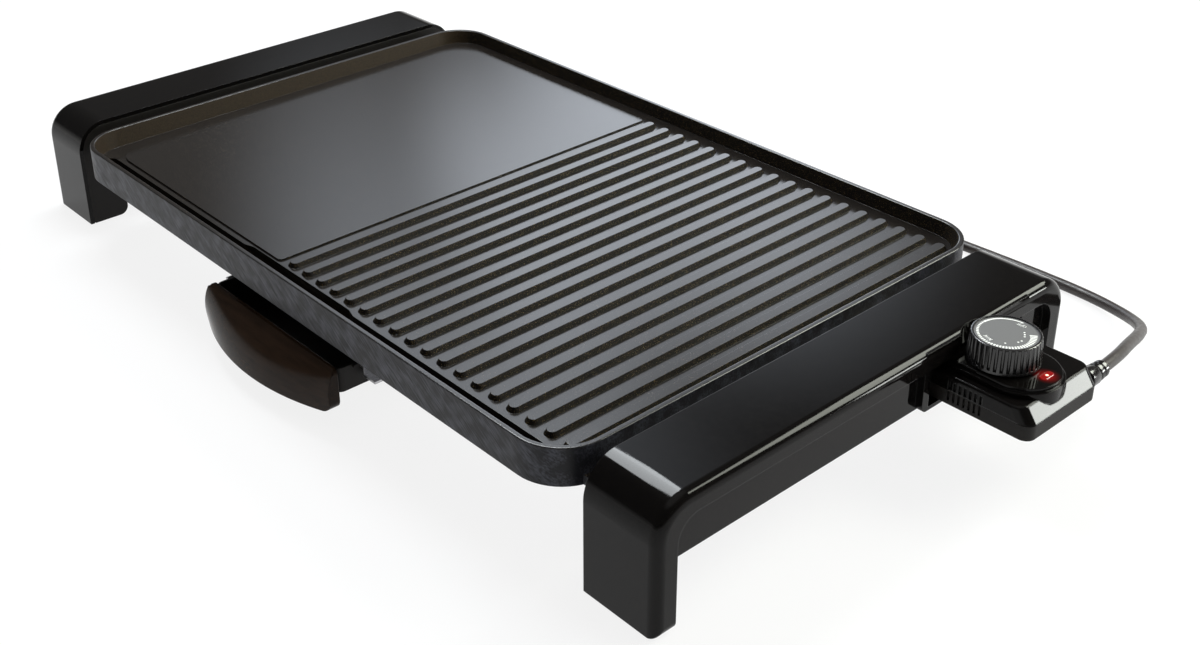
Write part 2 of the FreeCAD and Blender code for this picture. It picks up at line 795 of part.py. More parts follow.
def terminals():
    """Ceramic block in the plate's end wall, its two pins and the probe's guide."""
    block_body = block("BlockBody", "hollow_x", "plate_x", "terminal_left - boss_radius",
                       "terminal_right + boss_radius", "pan_floor + slot_radius",
                       "underside_height")
    bores = [rod("PinBoreNear", "hollow_x", "terminal_left", "element_z", "pin_radius",
                 "underside_wall", "X"),
             rod("PinBoreFar", "hollow_x", "terminal_right", "element_z", "pin_radius",
                 "underside_wall", "X"),
             rod("ProbeBore", "hollow_x", "socket_y", "element_z",
                 "probe_radius + probe_guide_gap", "underside_wall", "X")]
    keep(cut("terminal_block", block_body, bores))
    pins = [rod("PinNear", "hollow_x", "terminal_left", "element_z", "pin_radius",
                "underside_wall + pin_reach", "X"),
            rod("PinFar", "hollow_x", "terminal_right", "element_z", "pin_radius",
                "underside_wall + pin_reach", "X")]
    keep(group("terminal_pins", pins))
    guide = rod("GuideTube", "hollow_x - probe_guide_length", "socket_y", "element_z",
                "guide_radius", "probe_guide_length", "X")
    hole = rod("GuideHole", "hollow_x - probe_guide_length", "socket_y", "element_z",
               "probe_radius + probe_guide_gap", "probe_guide_length", "X")
    keep(cut("probe_guide", guide, [hole]))


def element_supports():
    """Ceramic saddles that stand on the pan and carry the element."""
    places = [("-support_x", "terminal_right"), ("-support_x", "element_front"),
              ("support_x", "element_front"), ("support_x", "terminal_left")]
    saddles = []
    for index, (x, y) in enumerate(places):
        foot = block(f"SaddleFoot{index}", f"{x} - support_width / 2", f"{x} + support_width / 2",
                     f"{y} - support_length / 2", f"{y} + support_length / 2", "pan_floor",
                     "element_z")
        cradle = rod(f"SaddleCradle{index}", f"{x} - support_width", y, "element_z",
                     "element_radius + element_gap", "2 * support_width", "X")
        saddles.append(cut(f"Saddle{index}", foot, [cradle]))
    keep(group("element_supports", saddles))


def reflector_pan():
    """Shallow sheet pan that closes the underside."""
    pan = body("reflector_pan")
    skin = sketch(pan, "PanOutline", offset="pan_height")
    rounded(skin, "pan_gap - hollow_x", "hollow_x - pan_gap", "hollow_front + pan_gap",
            "hollow_back - pan_gap", "pan_radius")
    pad(pan, skin, "pan_sheet + pan_wall", "PanSkin")
    inside = sketch(pan, "PanInside", offset="pan_floor")
    rounded(inside, "pan_gap + pan_sheet - hollow_x", "hollow_x - pan_gap - pan_sheet",
            "hollow_front + pan_gap + pan_sheet", "hollow_back - pan_gap - pan_sheet",
            "pan_radius - pan_sheet")
    pocket(pan, inside, "pan_wall", "PanHollow", reverse=True)
    notch = sketch(pan, "PanNotch", offset="pan_floor")
    polygon(notch, [("hollow_x - 2 * pan_gap", "terminal_left - boss_radius"),
                    ("hollow_x", "terminal_left - boss_radius"),
                    ("hollow_x", "terminal_right + boss_radius"),
                    ("hollow_x - 2 * pan_gap", "terminal_right + boss_radius")])
    pocket(pan, notch, "pan_wall", "PanGap", reverse=True)
    holes = sketch(pan, "PanHoles", offset="pan_height")
    for side in ("-", ""):
        for y in ("boss_y", "-boss_y"):
            circle(holes, side + "boss_x", y, "screw_radius")
        for y in ("rail_rivet_back", "rail_rivet_front"):
            circle(holes, side + "rail_rivet_x", y, "screw_radius")
    pocket(pan, holes, "pan_sheet", "PanHoleCuts", reverse=True)
    keep(pan)


def screw(name, x, y, z, length):
    """A round-headed screw; its head's seat is at x, y, z and its shank runs up."""
    shank = rod(name + "Shank", x, y, z, "screw_radius - screw_gap", length)
    head = cone(name + "Head", x, y, f"{z} - screw_head", "screw_head_radius - screw_dome",
                "screw_head_radius", "screw_head")
    return fuse(name, [shank, head])


def pan_screws():
    screws = []
    for side in ("-", ""):
        for index, y in enumerate(("boss_y", "-boss_y")):
            name = ("PanScrewLeft" if side else "PanScrewRight") + str(index)
            screws.append(screw(name, side + "boss_x", y, "pan_height",
                                "screw_length - screw_spare"))
    keep(group("pan_screws", screws))


# ------------------------------------------------------------------ end legs

def leg_shell(name, side, socket):
    """Moulded leg, open towards the plate; side is a minus sign for the left one."""
    left = side == "-"
    leg = body(name)
    skin = sketch(leg, name + "Outline", role="YZ_Plane", offset=side + "leg_inner")
    rounded(skin, "-leg_y", "leg_y", "leg_ground_gap", "leg_top",
            ["leg_foot_radius", "leg_foot_radius", "leg_round", "leg_round"])
    pad(leg, skin, "leg_width", name + "Skin", reverse=left)
    face = at("leg_outer")
    low = at("leg_ground_gap") + at("leg_foot_radius") / 2

    def outer_rim(middle, along, edge):
        return abs(abs(middle.x) - face) < NEAR and middle.z > low

    round_edges(leg, outer_rim, "leg_edge_radius", name + "Fillet")

    # Recessed outer face, with a rim round its top and sides.
    recess = sketch(leg, name + "Recess", role="YZ_Plane", offset=side + "leg_outer")
    rounded(recess, "leg_rim_width - leg_y", "leg_y - leg_rim_width", "-leg_band",
            "band_bottom", ["slot_radius", "slot_radius", "leg_opening_radius",
                            "leg_opening_radius"])
    pocket(leg, recess, "leg_rim_depth", name + "RecessCut", reverse=left)

    # Grip opening below the panel, then the hollow behind it.
    grip = sketch(leg, name + "Grip", role="YZ_Plane", offset=side + "leg_outer")
    rounded(grip, "leg_rim_width - leg_y", "leg_y - leg_rim_width", "-leg_band",
            "grip_height", "slot_radius")
    pocket(leg, grip, "leg_width", name + "GripCut", reverse=left)
    hollow = sketch(leg, name + "Hollow", role="YZ_Plane", offset=side + "leg_inner")
    rounded(hollow, "leg_wall - leg_y", "leg_y - leg_wall", "leg_ground_gap + leg_wall",
            "leg_top - leg_wall", ["slot_radius", "slot_radius", "cavity_round", "cavity_round"])
    pocket(leg, hollow, "leg_width - leg_rim_depth - panel_sheet", name + "HollowCut",
           reverse=not left)
    seat = sketch(leg, name + "CoverSeat", role="YZ_Plane", offset=side + "leg_inner")
    rounded(seat, "leg_wall - leg_y", "leg_y - leg_wall", "-leg_band",
            "leg_top - leg_wall", ["slot_radius", "slot_radius", "cavity_round", "cavity_round"])
    pocket(leg, seat, "leg_wall", name + "CoverSeatCut", reverse=not left)

    # Bosses for the plate's tabs.
    bosses = sketch(leg, name + "Bosses", offset="leg_boss_bottom")
    for y in ("", "-"):
        polygon(bosses, [(f"{side}(leg_cavity_x + tab_gap)", f"{y}(tab_y - tab_width / 2)"),
                         (f"{side}(leg_cavity_x + leg_boss_x)", f"{y}(tab_y - tab_width / 2)"),
                         (f"{side}(leg_cavity_x + leg_boss_x)", f"{y}(leg_y - slot_radius)"),
                         (f"{side}(leg_cavity_x + tab_gap)", f"{y}(leg_y - slot_radius)")])
    pad(leg, bosses, "plate_bottom - leg_boss_bottom", name + "BossPad")
    if socket:
        thermostat_socket(leg)
    drills = sketch(leg, name + "Drills", offset="leg_boss_bottom")
    for y in ("tab_y", "-tab_y"):
        circle(drills, side + "tab_hole_x", y, "screw_radius")
    pocket(leg, drills, "plate_bottom - leg_boss_bottom", name + "DrillCut", reverse=True)

    # Seats for the feet.
    seats = sketch(leg, name + "Seats", offset="leg_ground_gap")
    for y in ("", "-"):
        foot_outline(seats, side, y)
    pocket(leg, seats, "pad_height - leg_ground_gap", name + "SeatCut", reverse=True)
    keep(leg)


def foot_outline(drawing, side, y):
    """Corners of one rubber foot."""
    near_x = "(leg_inner + leg_width / 2 - pad_length / 2)"
    far_x = "(leg_inner + leg_width / 2 + pad_length / 2)"
    near_y = "(leg_y - leg_rim_width / 2 - pad_width / 2)"
    far_y = "(leg_y - leg_rim_width / 2 + pad_width / 2)"
    polygon(drawing, [(side + near_x, y + near_y), (side + far_x, y + near_y),
                      (side + far_x, y + far_y), (side + near_x, y + far_y)])


def thermostat_socket(leg):
    """Frame through the right leg that receives the thermostat."""
    frame = sketch(leg, "SocketFrame", role="YZ_Plane", offset="leg_cavity_x")
    rounded(frame, "socket_y0", "socket_y1", "socket_low - socket_floor",
            "leg_top - slot_radius",
            ["socket_radius", "socket_radius", "slot_radius", "slot_radius"])
    pad(leg, frame, "leg_outer - leg_cavity_x - leg_inner_edge_radius / 2", "SocketFramePad")
    room = sketch(leg, "SocketRoom", role="YZ_Plane", offset="leg_inner")
    rounded(room, "socket_y0 + socket_wall", "socket_y1 - socket_wall", "socket_low",
            "leg_top - leg_wall", "slot_radius")
    pocket(leg, room, "leg_width - leg_rim_depth - panel_sheet", "SocketRoomCut", reverse=True)
    mouth = sketch(leg, "SocketMouth", role="YZ_Plane", offset="leg_inner")
    rounded(mouth, "socket_y0 + socket_wall", "socket_y1 - socket_wall", "socket_low",
            "band_bottom", "slot_radius")
    pocket(leg, mouth, "leg_width + slot_radius", "SocketMouthCut", reverse=True)
    scallop = sketch(leg, "KnobScallop", offset="band_bottom - slot_radius")
    circle(scallop, "knob_x", "knob_y", "knob_radius + recess_depth")
    pocket(leg, scallop, "leg_band + 2 * slot_radius", "KnobScallopCut", reverse=True)


def leg_cover(name, side, socket):
    """Inner plate that closes the leg, with a shelf over the grip opening."""
    left = side == "-"
    cover = body(name)
    skin = sketch(cover, name + "Outline", role="YZ_Plane", offset=side + "leg_inner")
    near = "leg_wall - leg_y + cover_gap"
    far = "leg_y - leg_wall - cover_gap"
    rounded(skin, near, far, "leg_ground_gap", "leg_top - leg_wall - cover_gap",
            ["slot_radius", "slot_radius", "cavity_round", "cavity_round"])
    pad(cover, skin, "leg_wall", name + "Skin", reverse=left)
    shelf = sketch(cover, name + "Shelf", offset="grip_height")
    inner = side + "(leg_cavity_x - slot_radius)"
    outer = side + "(leg_rim_x - panel_sheet)"
    polygon(shelf, [(inner, near), (outer, near), (outer, far), (inner, far)])
    pad(cover, shelf, "panel_sheet", name + "ShelfPad")
    arch = sketch(cover, name + "Arch", role="YZ_Plane", offset=side + "leg_inner")
    rounded(arch, "foot_wall - leg_y", "leg_y - foot_wall", "-leg_band", "grip_height",
            "slot_radius")
    pocket(cover, arch, "leg_wall", name + "ArchCut", reverse=not left)
    low = at("leg_ground_gap")
    foot_side = at("leg_y") - at("foot_wall")

    def foot_corner(middle, along, edge):
        across = abs(abs(along.x) - 1) < NEAR
        return across and middle.z < low + NEAR and abs(middle.y) < foot_side + NEAR

    round_edges(cover, foot_corner, "foot_radius", name + "FootRound")

    windows = sketch(cover, name + "Windows", role="YZ_Plane", offset=side + "leg_inner")
    for y in ("tab_y", "-tab_y"):
        rounded(windows, f"{y} - tab_width / 2 - tab_gap", f"{y} + tab_width / 2 + tab_gap",
                "plate_bottom - tab_gap", "underside_height + tab_gap", "slot_radius / 2")
    pocket(cover, windows, "leg_wall", name + "WindowCut", reverse=not left)
    access = sketch(cover, name + "Access", offset="grip_height")
    for y in ("tab_y", "-tab_y"):
        circle(access, side + "tab_hole_x", y, "screw_head_radius + tab_gap")
    pocket(cover, access, "panel_sheet", name + "AccessCut", reverse=True)
    if socket:
        gap = sketch(cover, "ShelfGap", offset="grip_height")
        polygon(gap, [("leg_cavity_x", "socket_y0 - tab_gap"), ("leg_rim_x", "socket_y0 - tab_gap"),
                      ("leg_rim_x", "socket_y1 + tab_gap"), ("leg_cavity_x", "socket_y1 + tab_gap")])
        pocket(cover, gap, "panel_sheet", "ShelfGapCut", reverse=True)
        window = sketch(cover, "NoseWindow", role="YZ_Plane", offset="leg_inner")
        rounded(window, "socket_y - window_width / 2", "socket_y + window_width / 2",
                "element_z - window_height / 2", "element_z + window_height / 2", "slot_radius")
        pocket(cover, window, "leg_wall", "NoseWindowCut", reverse=True)
    keep(cover)


def leg_fittings():
    """Screws that hold the plate's tabs, and the rubber feet."""
    screws = []
    for side in ("-", ""):
        for index, y in enumerate(("tab_y", "-tab_y")):
            name = ("LegScrewLeft" if side else "LegScrewRight") + str(index)
            screws.append(screw(name, side + "tab_hole_x", y, "leg_boss_bottom",
                                "underside_height - leg_boss_bottom"))
    keep(group("leg_screws", screws))
    feet = []
    for side, word in (("-", "Left"), ("", "Right")):
        for y, end in (("-", "Front"), ("", "Back")):
            foot = body(f"Foot{word}{end}")
            outline = sketch(foot, f"Foot{word}{end}Outline")
            foot_outline(outline, side, y)
            pad(foot, outline, "pad_height", f"Foot{word}{end}Pad")
            feet.append(foot)
    keep(group("foot_pads", feet))


# ------------------------------------------------------------------ drip tray

def drip_tray():
    """Open tray with a flange along each side that runs in the rails."""
    tray = body("drip_tray")
    skin = sketch(tray, "TrayOutline", offset="tray_bottom")
    rounded(skin, "-tray_x", "tray_x", "-tray_front", "tray_length - tray_front", "tray_radius")
    pad(tray, skin, "tray_height", "TraySkin")
    flanges = sketch(tray, "FlangeOutline", offset="tray_top - flange_sheet")
    for side in ("-", ""):
        inner = side + "(tray_x - tray_wall / 2)"
        outer = side + "(tray_x + flange_width)"
        near = "2 * tray_radius - tray_front"
        far = "tray_length - tray_front - tray_radius"
        polygon(flanges, [(inner, near), (outer, near), (outer, far), (inner, far)])
    pad(tray, flanges, "flange_sheet", "Flanges")
    inside = sketch(tray, "TrayInside", offset="tray_bottom + tray_wall")
    rounded(inside, "tray_wall - tray_x", "tray_x - tray_wall", "tray_wall - tray_front",
            "tray_length - tray_front - tray_wall", "tray_radius - tray_wall")
    pocket(tray, inside, "tray_height", "TrayHollow", reverse=True)
    holes = sketch(tray, "TrayHoles", role="XZ_Plane", offset="tray_front - tray_wall")
    for side in ("-", ""):
        circle(holes, side + "handle_screw_x", "tray_bottom + tray_height / 2", "screw_radius")
    pocket(tray, holes, "tray_wall", "TrayHoleCuts", reverse=True)
    keep(tray)


def bow(owner, name, z, half, back, end, middle):
    """A level outline with a straight back and a front that bows out."""
    drawing = sketch(owner, name, offset=z)
    sides = [(f"({half})", f"-({back})"), (f"-({half})", f"-({back})"), (f"-({half})", f"-({end})")]
    edges = [line(drawing, sides[0], sides[1]), line(drawing, sides[1], sides[2])]
    left = Vector(-number(half), -number(end), 0)
    right = Vector(number(half), -number(end), 0)
    arc = Part.Arc(left, Vector(0, -number(middle), 0), right)
    edges.append(drawing.addGeometry(arc))
    edges.append(drawing.addGeometry(Part.LineSegment(right, Vector(right.x, -number(back), 0))))
    join(drawing, edges[0], edges[1])
    join(drawing, edges[1], edges[2])
    join(drawing, edges[2], edges[3])
    join(drawing, edges[3], edges[0])
    pin(drawing, edges[0], 1, *sides[0])
    pin(drawing, edges[1], 1, *sides[1])
    pin(drawing, edges[2], 1, *sides[2])
    pin(drawing, edges[3], 1, f"({half})", f"-({end})")
    sagitta = f"(({middle}) - ({end}))"
    radius = f"(({half}) * ({half}) + {sagitta} * {sagitta}) / (2 * {sagitta})"
    held = drawing.addConstraint(Sketcher.Constraint("Radius", edges[2], number(radius)))
    drawing.setExpression(f"Constraints[{held}]", bound(radius))
    return drawing


def tray_handle():
    """Bowed pull: its front swells out and down from a thin top edge; hollow below."""
    handle = body("tray_handle")
    half = "handle_width / 2"
    outlines = [
        ("HandleTop", "handle_top", "handle_top_end", "handle_top_bow"),
        ("HandleBrow", "handle_top - handle_brow_drop", "handle_brow_end", "handle_brow_bow"),
        ("HandleBelly", "handle_top - handle_belly_drop", "handle_belly_end",
         "handle_belly_bow"),
        ("HandleLip", "handle_bottom", "handle_lip_end", "handle_lip_bow"),
    ]
    sections = []
    for name, level, end, rise in outlines:
        sections.append(bow(handle, name, level, half, "tray_front", "tray_front + " + end,
                            f"tray_front + {end} + {rise}"))
    loft(handle, "AdditiveLoft", sections, "HandleSkin")
    side = at("handle_width") / 2
    top = at("handle_top")
    low = at("handle_bottom")

    def corner(level):
        def test(middle, along, edge):
            across = abs(abs(middle.x) - side) < NEAR and abs(middle.z - level) < NEAR
            return across and abs(along.y) > 1 - NEAR
        return test

    round_edges(handle, corner(top), "handle_top_radius", "HandleTopCorners")
    round_edges(handle, corner(low), "handle_low_radius", "HandleLowCorners")
    inner = half + " - 2 * handle_wall"
    wall = "tray_front + handle_wall"
    roof_end = "tray_front + handle_roof_end"
    mouth_end = "tray_front + handle_lip_end - handle_wall"
    roof = bow(handle, "HandleRoof", "handle_top - handle_roof_drop", inner, wall, roof_end,
               roof_end + " + handle_roof_bow")
    mouth = bow(handle, "HandleMouth", "handle_bottom", inner, wall, mouth_end,
                mouth_end + " + handle_lip_bow")
    loft(handle, "SubtractiveLoft", [roof, mouth], "HandleHollow")
    pilots = sketch(handle, "HandlePilots", role="XZ_Plane", offset="tray_front")
    for word in ("-", ""):
        circle(pilots, word + "handle_screw_x", "tray_bottom + tray_height / 2", "screw_radius")
    pocket(handle, pilots, "handle_wall", "HandlePilotCuts", reverse=True)
    keep(handle)


def handle_screws():
    screws = []
    for side, word in (("-", "Left"), ("", "Right")):
        shank = rod(f"HandleScrewShank{word}", side + "handle_screw_x",
                    "-tray_front - handle_wall", "tray_bottom + tray_height / 2",
                    "screw_radius - screw_gap", "handle_wall + tray_wall", "Y")
        head = cone(f"HandleScrewHead{word}", side + "handle_screw_x", "tray_wall - tray_front",
                    "tray_bottom + tray_height / 2", "screw_head_radius",
                    "screw_head_radius - screw_dome", "screw_head", "Y")
        screws.append(fuse(f"HandleScrew{word}", [shank, head]))
    keep(group("handle_screws", screws))


def tray_rail(name, side):
    """Folded rail: foot under the pan, web beside the tray, lip under its flange."""
    left = side == "-"
    rail = body(name)
    profile = sketch(rail, name + "Profile", role="XZ_Plane", offset="rail_front - rail_length")
    web = "(rail_x + rail_sheet)"
    reach = "(rail_x + rail_sheet + rail_foot)"
    points = [("rail_x", "pan_height"), ("rail_x", "rail_lip_top"),
              ("(tray_x + rail_gap / 2)", "rail_lip_top"),
              ("(tray_x + rail_gap / 2)", "rail_lip_top - rail_sheet"),
              ("rail_x", "rail_lip_top - rail_sheet"), ("rail_x", "rail_bottom"),
              (reach, "rail_bottom"), (reach, "rail_bottom + rail_sheet"),
              (web, "rail_bottom + rail_sheet"), (web, "pan_height - rail_sheet"),
              (reach, "pan_height - rail_sheet"), (reach, "pan_height")]
    polygon(profile, [(side + x, z) for x, z in points])
    pad(rail, profile, "rail_length", name + "Pad")
    holes = sketch(rail, name + "Holes", offset="pan_height - rail_sheet")
    for y in ("rail_rivet_back", "rail_rivet_front"):
        circle(holes, f"{side}rail_rivet_x", y, "screw_radius")
    pocket(rail, holes, "rail_sheet", name + "HoleCuts", reverse=True)
    keep(rail)


def rail_rivets():
    rivets = []
    for side, word in (("-", "Left"), ("", "Right")):
        for y, end in (("rail_rivet_back", "Back"), ("rail_rivet_front", "Front")):
            name = f"Rivet{word}{end}"
            x = side + "rail_rivet_x"
            shank = rod(name + "Shank", x, y, "pan_height - rail_sheet",
                        "screw_radius - screw_gap", "rail_sheet + pan_sheet")
            low = cone(name + "Low", x, y, "pan_height - rail_sheet - screw_head",
                       "screw_radius", "screw_head_radius", "screw_head")
            high = cone(name + "High", x, y, "pan_floor", "screw_head_radius",
                        "screw_radius", "screw_head")
            rivets.append(fuse(name, [shank, low, high]))
    keep(group("rail_rivets", rivets))


# ----------------------------------------------------------- thermostat housing

def housing_posts(owner, name, start, length, radius, **more):
    """The four round posts that the housing's screws pass through, or their holes."""
    drawing = sketch(owner, name, offset=start)
    for x in ("post_near", "post_far"):
        for y in ("stat_front + post_inset", "stat_back - post_inset"):
            circle(drawing, x, y, radius)
    make = pocket if more.pop("hole", False) else pad
    make(owner, drawing, length, name + "Made", **more)


def nose_opening(owner, name):
    """Way through the housing's inner wall for the contact carrier."""
    drawing = sketch(owner, name, role="YZ_Plane", offset="stat_inner")
    rounded(drawing, "socket_y - nose_width / 2", "socket_y + nose_width / 2",
            "nose_bottom", "stat_ceiling", "2 * least_run")
    pocket(owner, drawing, "stat_wall", name + "Cut", reverse=True)


def relief_hole(owner, name):
    """Hole through the back wall for the strain relief's root."""
    drawing = sketch(owner, name, role="XZ_Plane", offset="-stat_back")
    circle(drawing, "relief_x", "relief_z", "relief_root_radius")
    pocket(owner, drawing, "stat_wall + relief_root", name + "Cut", reverse=True)


def vents(owner, name, low, high):
    """One row of narrow grooves in the front side."""
    drawing = sketch(owner, name, role="XZ_Plane", offset="-stat_front")
    polygon(drawing, [("leg_outer + vent_start", low), ("leg_outer + vent_start + vent_width", low),
                      ("leg_outer + vent_start + vent_width", high),
                      ("leg_outer + vent_start", high)])
    groove = pocket(owner, drawing, "vent_depth", name + "Cut")
    repeat(owner, groove, "X_Axis", "vent_pitch * (vent_count - 1)", "vent_count", name + "Row")


def thermostat_base():
    """Lower half of the housing."""
    base = body("thermostat_base")
    skin = sketch(base, "BaseOutline", offset="stat_bottom")
    rounded(skin, "stat_inner", "stat_outer", "stat_front", "stat_back",
            ["leg_foot_radius", "stat_corner_radius", "stat_corner_radius", "leg_foot_radius"])
    pad(base, skin, "stat_split - stat_bottom", "BaseSkin")
    low = at("stat_bottom")
    round_edges(base, lambda middle, along, edge: middle.z < low + NEAR,
                "stat_edge_radius / 2 - least_run", "BaseEdge")
    inside = sketch(base, "BaseInside", offset="stat_floor")
    rounded(inside, "stat_inner + stat_wall", "stat_outer - stat_wall", "stat_front + stat_wall",
            "stat_back - stat_wall",
            ["slot_radius / 2", "stat_corner_radius - stat_wall",
             "stat_corner_radius - stat_wall", "slot_radius / 2"])
    pocket(base, inside, "stat_split - stat_floor", "BaseHollow", reverse=True)
    housing_posts(base, "BasePosts", "stat_floor - stat_wall / 2",
                  "stat_split - stat_floor + stat_wall / 2", "post_radius")
    housing_posts(base, "BasePostHoles", "stat_bottom", "stat_split - stat_bottom",
                  "screw_radius", hole=True, reverse=True)
    housing_posts(base, "BaseHeadSeats", "stat_bottom", "screw_head", "screw_head_radius",
                  hole=True, reverse=True)
    vents(base, "LowVents", "vent_low", "stat_split - vent_bar / 2")
    nose_opening(base, "BaseNose")
    relief_hole(base, "BaseRelief")
    keep(base)


def thermostat_cover():
    """Upper half of the housing, sloped at its outer end and open for the deck."""
    cover = body("thermostat_cover")
    profile = sketch(cover, "CoverProfile", role="XZ_Plane", offset="-stat_back")
    polygon(profile, [("stat_inner", "stat_split"), ("stat_outer", "stat_split"),
                      ("stat_outer - stat_slope", "stat_top"), ("stat_inner", "stat_top")])
    pad(cover, profile, "stat_width", "CoverSkin")
    end = at("stat_outer") - at("stat_slope")
    split = at("stat_split")
    top = at("stat_top")
    round_edges(cover, lambda middle, along, edge: middle.x > end and abs(along.z) > 0.5,
                "stat_corner_radius", "CoverCorners")
    round_edges(cover, lambda middle, along, edge: middle.z > top - NEAR,
                "stat_edge_radius", "CoverEdge")
    inside = sketch(cover, "CoverInside", offset="stat_split")
    rounded(inside, "stat_inner + stat_wall", "stat_outer - stat_slope - stat_wall",
            "stat_front + stat_wall", "stat_back - stat_wall",
            ["slot_radius / 2", "stat_corner_radius - stat_wall",
             "stat_corner_radius - stat_wall", "slot_radius / 2"])
    pocket(cover, inside, "stat_ceiling - stat_split", "CoverHollow", reverse=True)
    housing_posts(cover, "CoverPosts", "stat_split",
                  "stat_ceiling - stat_split + stat_wall / 2", "post_radius")
    housing_posts(cover, "CoverPilots", "stat_split", "stat_ceiling - stat_split",
                  "screw_radius", hole=True, reverse=True)
    tongue = sketch(cover, "DeckOpening", offset="deck_bottom")
    deck_outline(tongue, "0")
    pocket(cover, tongue, "stat_top - deck_bottom + slot_radius", "DeckOpeningCut",
           reverse=True)
    vents(cover, "HighVents", "stat_split + vent_bar / 2", "vent_high")
    nose_opening(cover, "CoverNose")
    relief_hole(cover, "CoverRelief")
    keep(cover)


def deck_outline(drawing, inset):
    """Tongue shape: square at the leg, fully rounded at the outer end."""
    nose = f"deck_width / 2 - least_run - {inset}"
    rounded(drawing, f"deck_left + {inset}", f"deck_right - {inset}", f"deck_front + {inset}",
            f"deck_back - {inset}", ["slot_radius", nose, nose, "slot_radius"])


def thermostat_deck():
    """Raised tongue that carries the knob and the lamp window."""
    deck = body("thermostat_deck")
    lower = sketch(deck, "DeckLower", offset="deck_bottom")
    deck_outline(lower, "0")
    pad(deck, lower, "deck_skirt - deck_step", "DeckLowerPad")
    upper = sketch(deck, "DeckUpper", offset="deck_top - deck_step")
    deck_outline(upper, "deck_step_width")
    pad(deck, upper, "deck_step", "DeckUpperPad")
    inside = sketch(deck, "DeckInside", offset="deck_bottom")
    deck_outline(inside, "deck_wall")
    pocket(deck, inside, "deck_skirt - deck_wall", "DeckHollow", reverse=True)
    bore = sketch(deck, "ShaftBore", offset="deck_bottom")
    circle(bore, "knob_x", "knob_y", "shaft_radius + shaft_gap")
    pocket(deck, bore, "deck_skirt", "ShaftBoreCut", reverse=True)
    window = sketch(deck, "LensHole", offset="deck_bottom")
    lens_outline(window)
    pocket(deck, window, "deck_skirt", "LensHoleCut", reverse=True)
    keep(deck)


def lens_outline(drawing):
    rounded(drawing, "lens_x - lens_width / 2", "lens_x + lens_width / 2",
            "lens_y - lens_length / 2", "lens_y + lens_length / 2",
            "lens_width / 2 - least_run")


def housing_screws():
    screws = []
    for x, first in (("post_near", "Near"), ("post_far", "Far")):
        for y, last in (("stat_front + post_inset", "Front"), ("stat_back - post_inset", "Back")):
            screws.append(screw(f"HousingScrew{first}{last}", x, y, "stat_bottom + screw_head",
                                "stat_ceiling - stat_bottom - screw_head - screw_spare"))
    keep(group("housing_screws", screws))


# ---------------------------------------------------- knob, dial and indicator

def knob():
    """Fluted knob with a shallow seat in its top for the dial."""
    grip = body("knob")
    bind(grip, Placement__Base__x="knob_x", Placement__Base__y="knob_y")
    skin = sketch(grip, "KnobOutline", offset="knob_base")
    circle(skin, "0", "0", "knob_radius")
    pad(grip, skin, "knob_height", "KnobSkin",
        TaperAngle="-atan((knob_radius - knob_top_radius) / knob_height)")
    top = at("knob_top")
    round_edges(grip, lambda middle, along, edge: middle.z > top - NEAR, "knob_edge", "KnobEdge")
    flute = sketch(grip, "FluteOutline", offset="knob_base + knob_skirt")
    circle(flute, "knob_top_radius + flute_radius / 2", "0", "flute_radius")
    groove = pocket(grip, flute, "knob_height", "Flute", reverse=True)
    spin(grip, groove, "flute_count", "Flutes")
    seat = sketch(grip, "DialSeat", offset="knob_top - dial_recess - dial_sheet")
    circle(seat, "0", "0", "dial_radius")
    pocket(grip, seat, "knob_height", "DialSeatCut", reverse=True)
    bore = sketch(grip, "KnobBore", offset="knob_base")
    circle(bore, "0", "0", "shaft_radius")
    pocket(grip, bore, "shaft_grip", "KnobBoreCut", reverse=True)
    keep(grip)


def knob_fittings():
    keep(rod("dial_disc", "knob_x", "knob_y", "knob_top - dial_recess - dial_sheet",
             "dial_radius", "dial_sheet"))
    keep(rod("knob_shaft", "knob_x", "knob_y", "switch_top + shaft_gap", "shaft_radius",
             "knob_base + shaft_grip - switch_top - shaft_gap"))


def indicator():
    """Red window in the deck and the lamp under it."""
    lens = body("indicator_lens")
    outline = sketch(lens, "LensOutline", offset="deck_top - lens_depth")
    lens_outline(outline)
    pad(lens, outline, "lens_depth + lens_proud", "LensPad")
    top = at("deck_top") + at("lens_proud")
    round_edges(lens, lambda middle, along, edge: middle.z > top - NEAR,
                "lens_proud - least_run", "LensEdge")
    keep(lens)
    keep(rod("indicator_lamp", "lens_x", "lens_y", "stat_floor", "lamp_radius",
             "deck_top - lens_depth - stat_floor"))


# ------------------------------------------------------- inside the thermostat

def contact_carrier():
    """Ceramic block whose nose reaches into the leg and holds the contacts."""
    heel = block("CarrierHeel", "stat_inner + stat_wall", "carrier_x",
                 "socket_y - nose_width / 2", "socket_y + nose_width / 2", "stat_floor",
                 "stat_ceiling")
    nose = block("CarrierNose", "nose_x", "carrier_x", "socket_y - nose_width / 2",
                 "socket_y + nose_width / 2", "nose_bottom", "stat_ceiling")
    solid = fuse("CarrierSolid", [heel, nose])
    length = "carrier_x - nose_x"
    bores = [rod("SleeveBoreNear", "nose_x", "terminal_left", "element_z", "sleeve_radius",
                 length, "X"),
             rod("SleeveBoreFar", "nose_x", "terminal_right", "element_z", "sleeve_radius",
                 length, "X"),
             rod("ProbeSeat", "nose_x", "socket_y", "element_z", "probe_radius", length, "X")]
    keep(cut("contact_carrier", solid, bores))


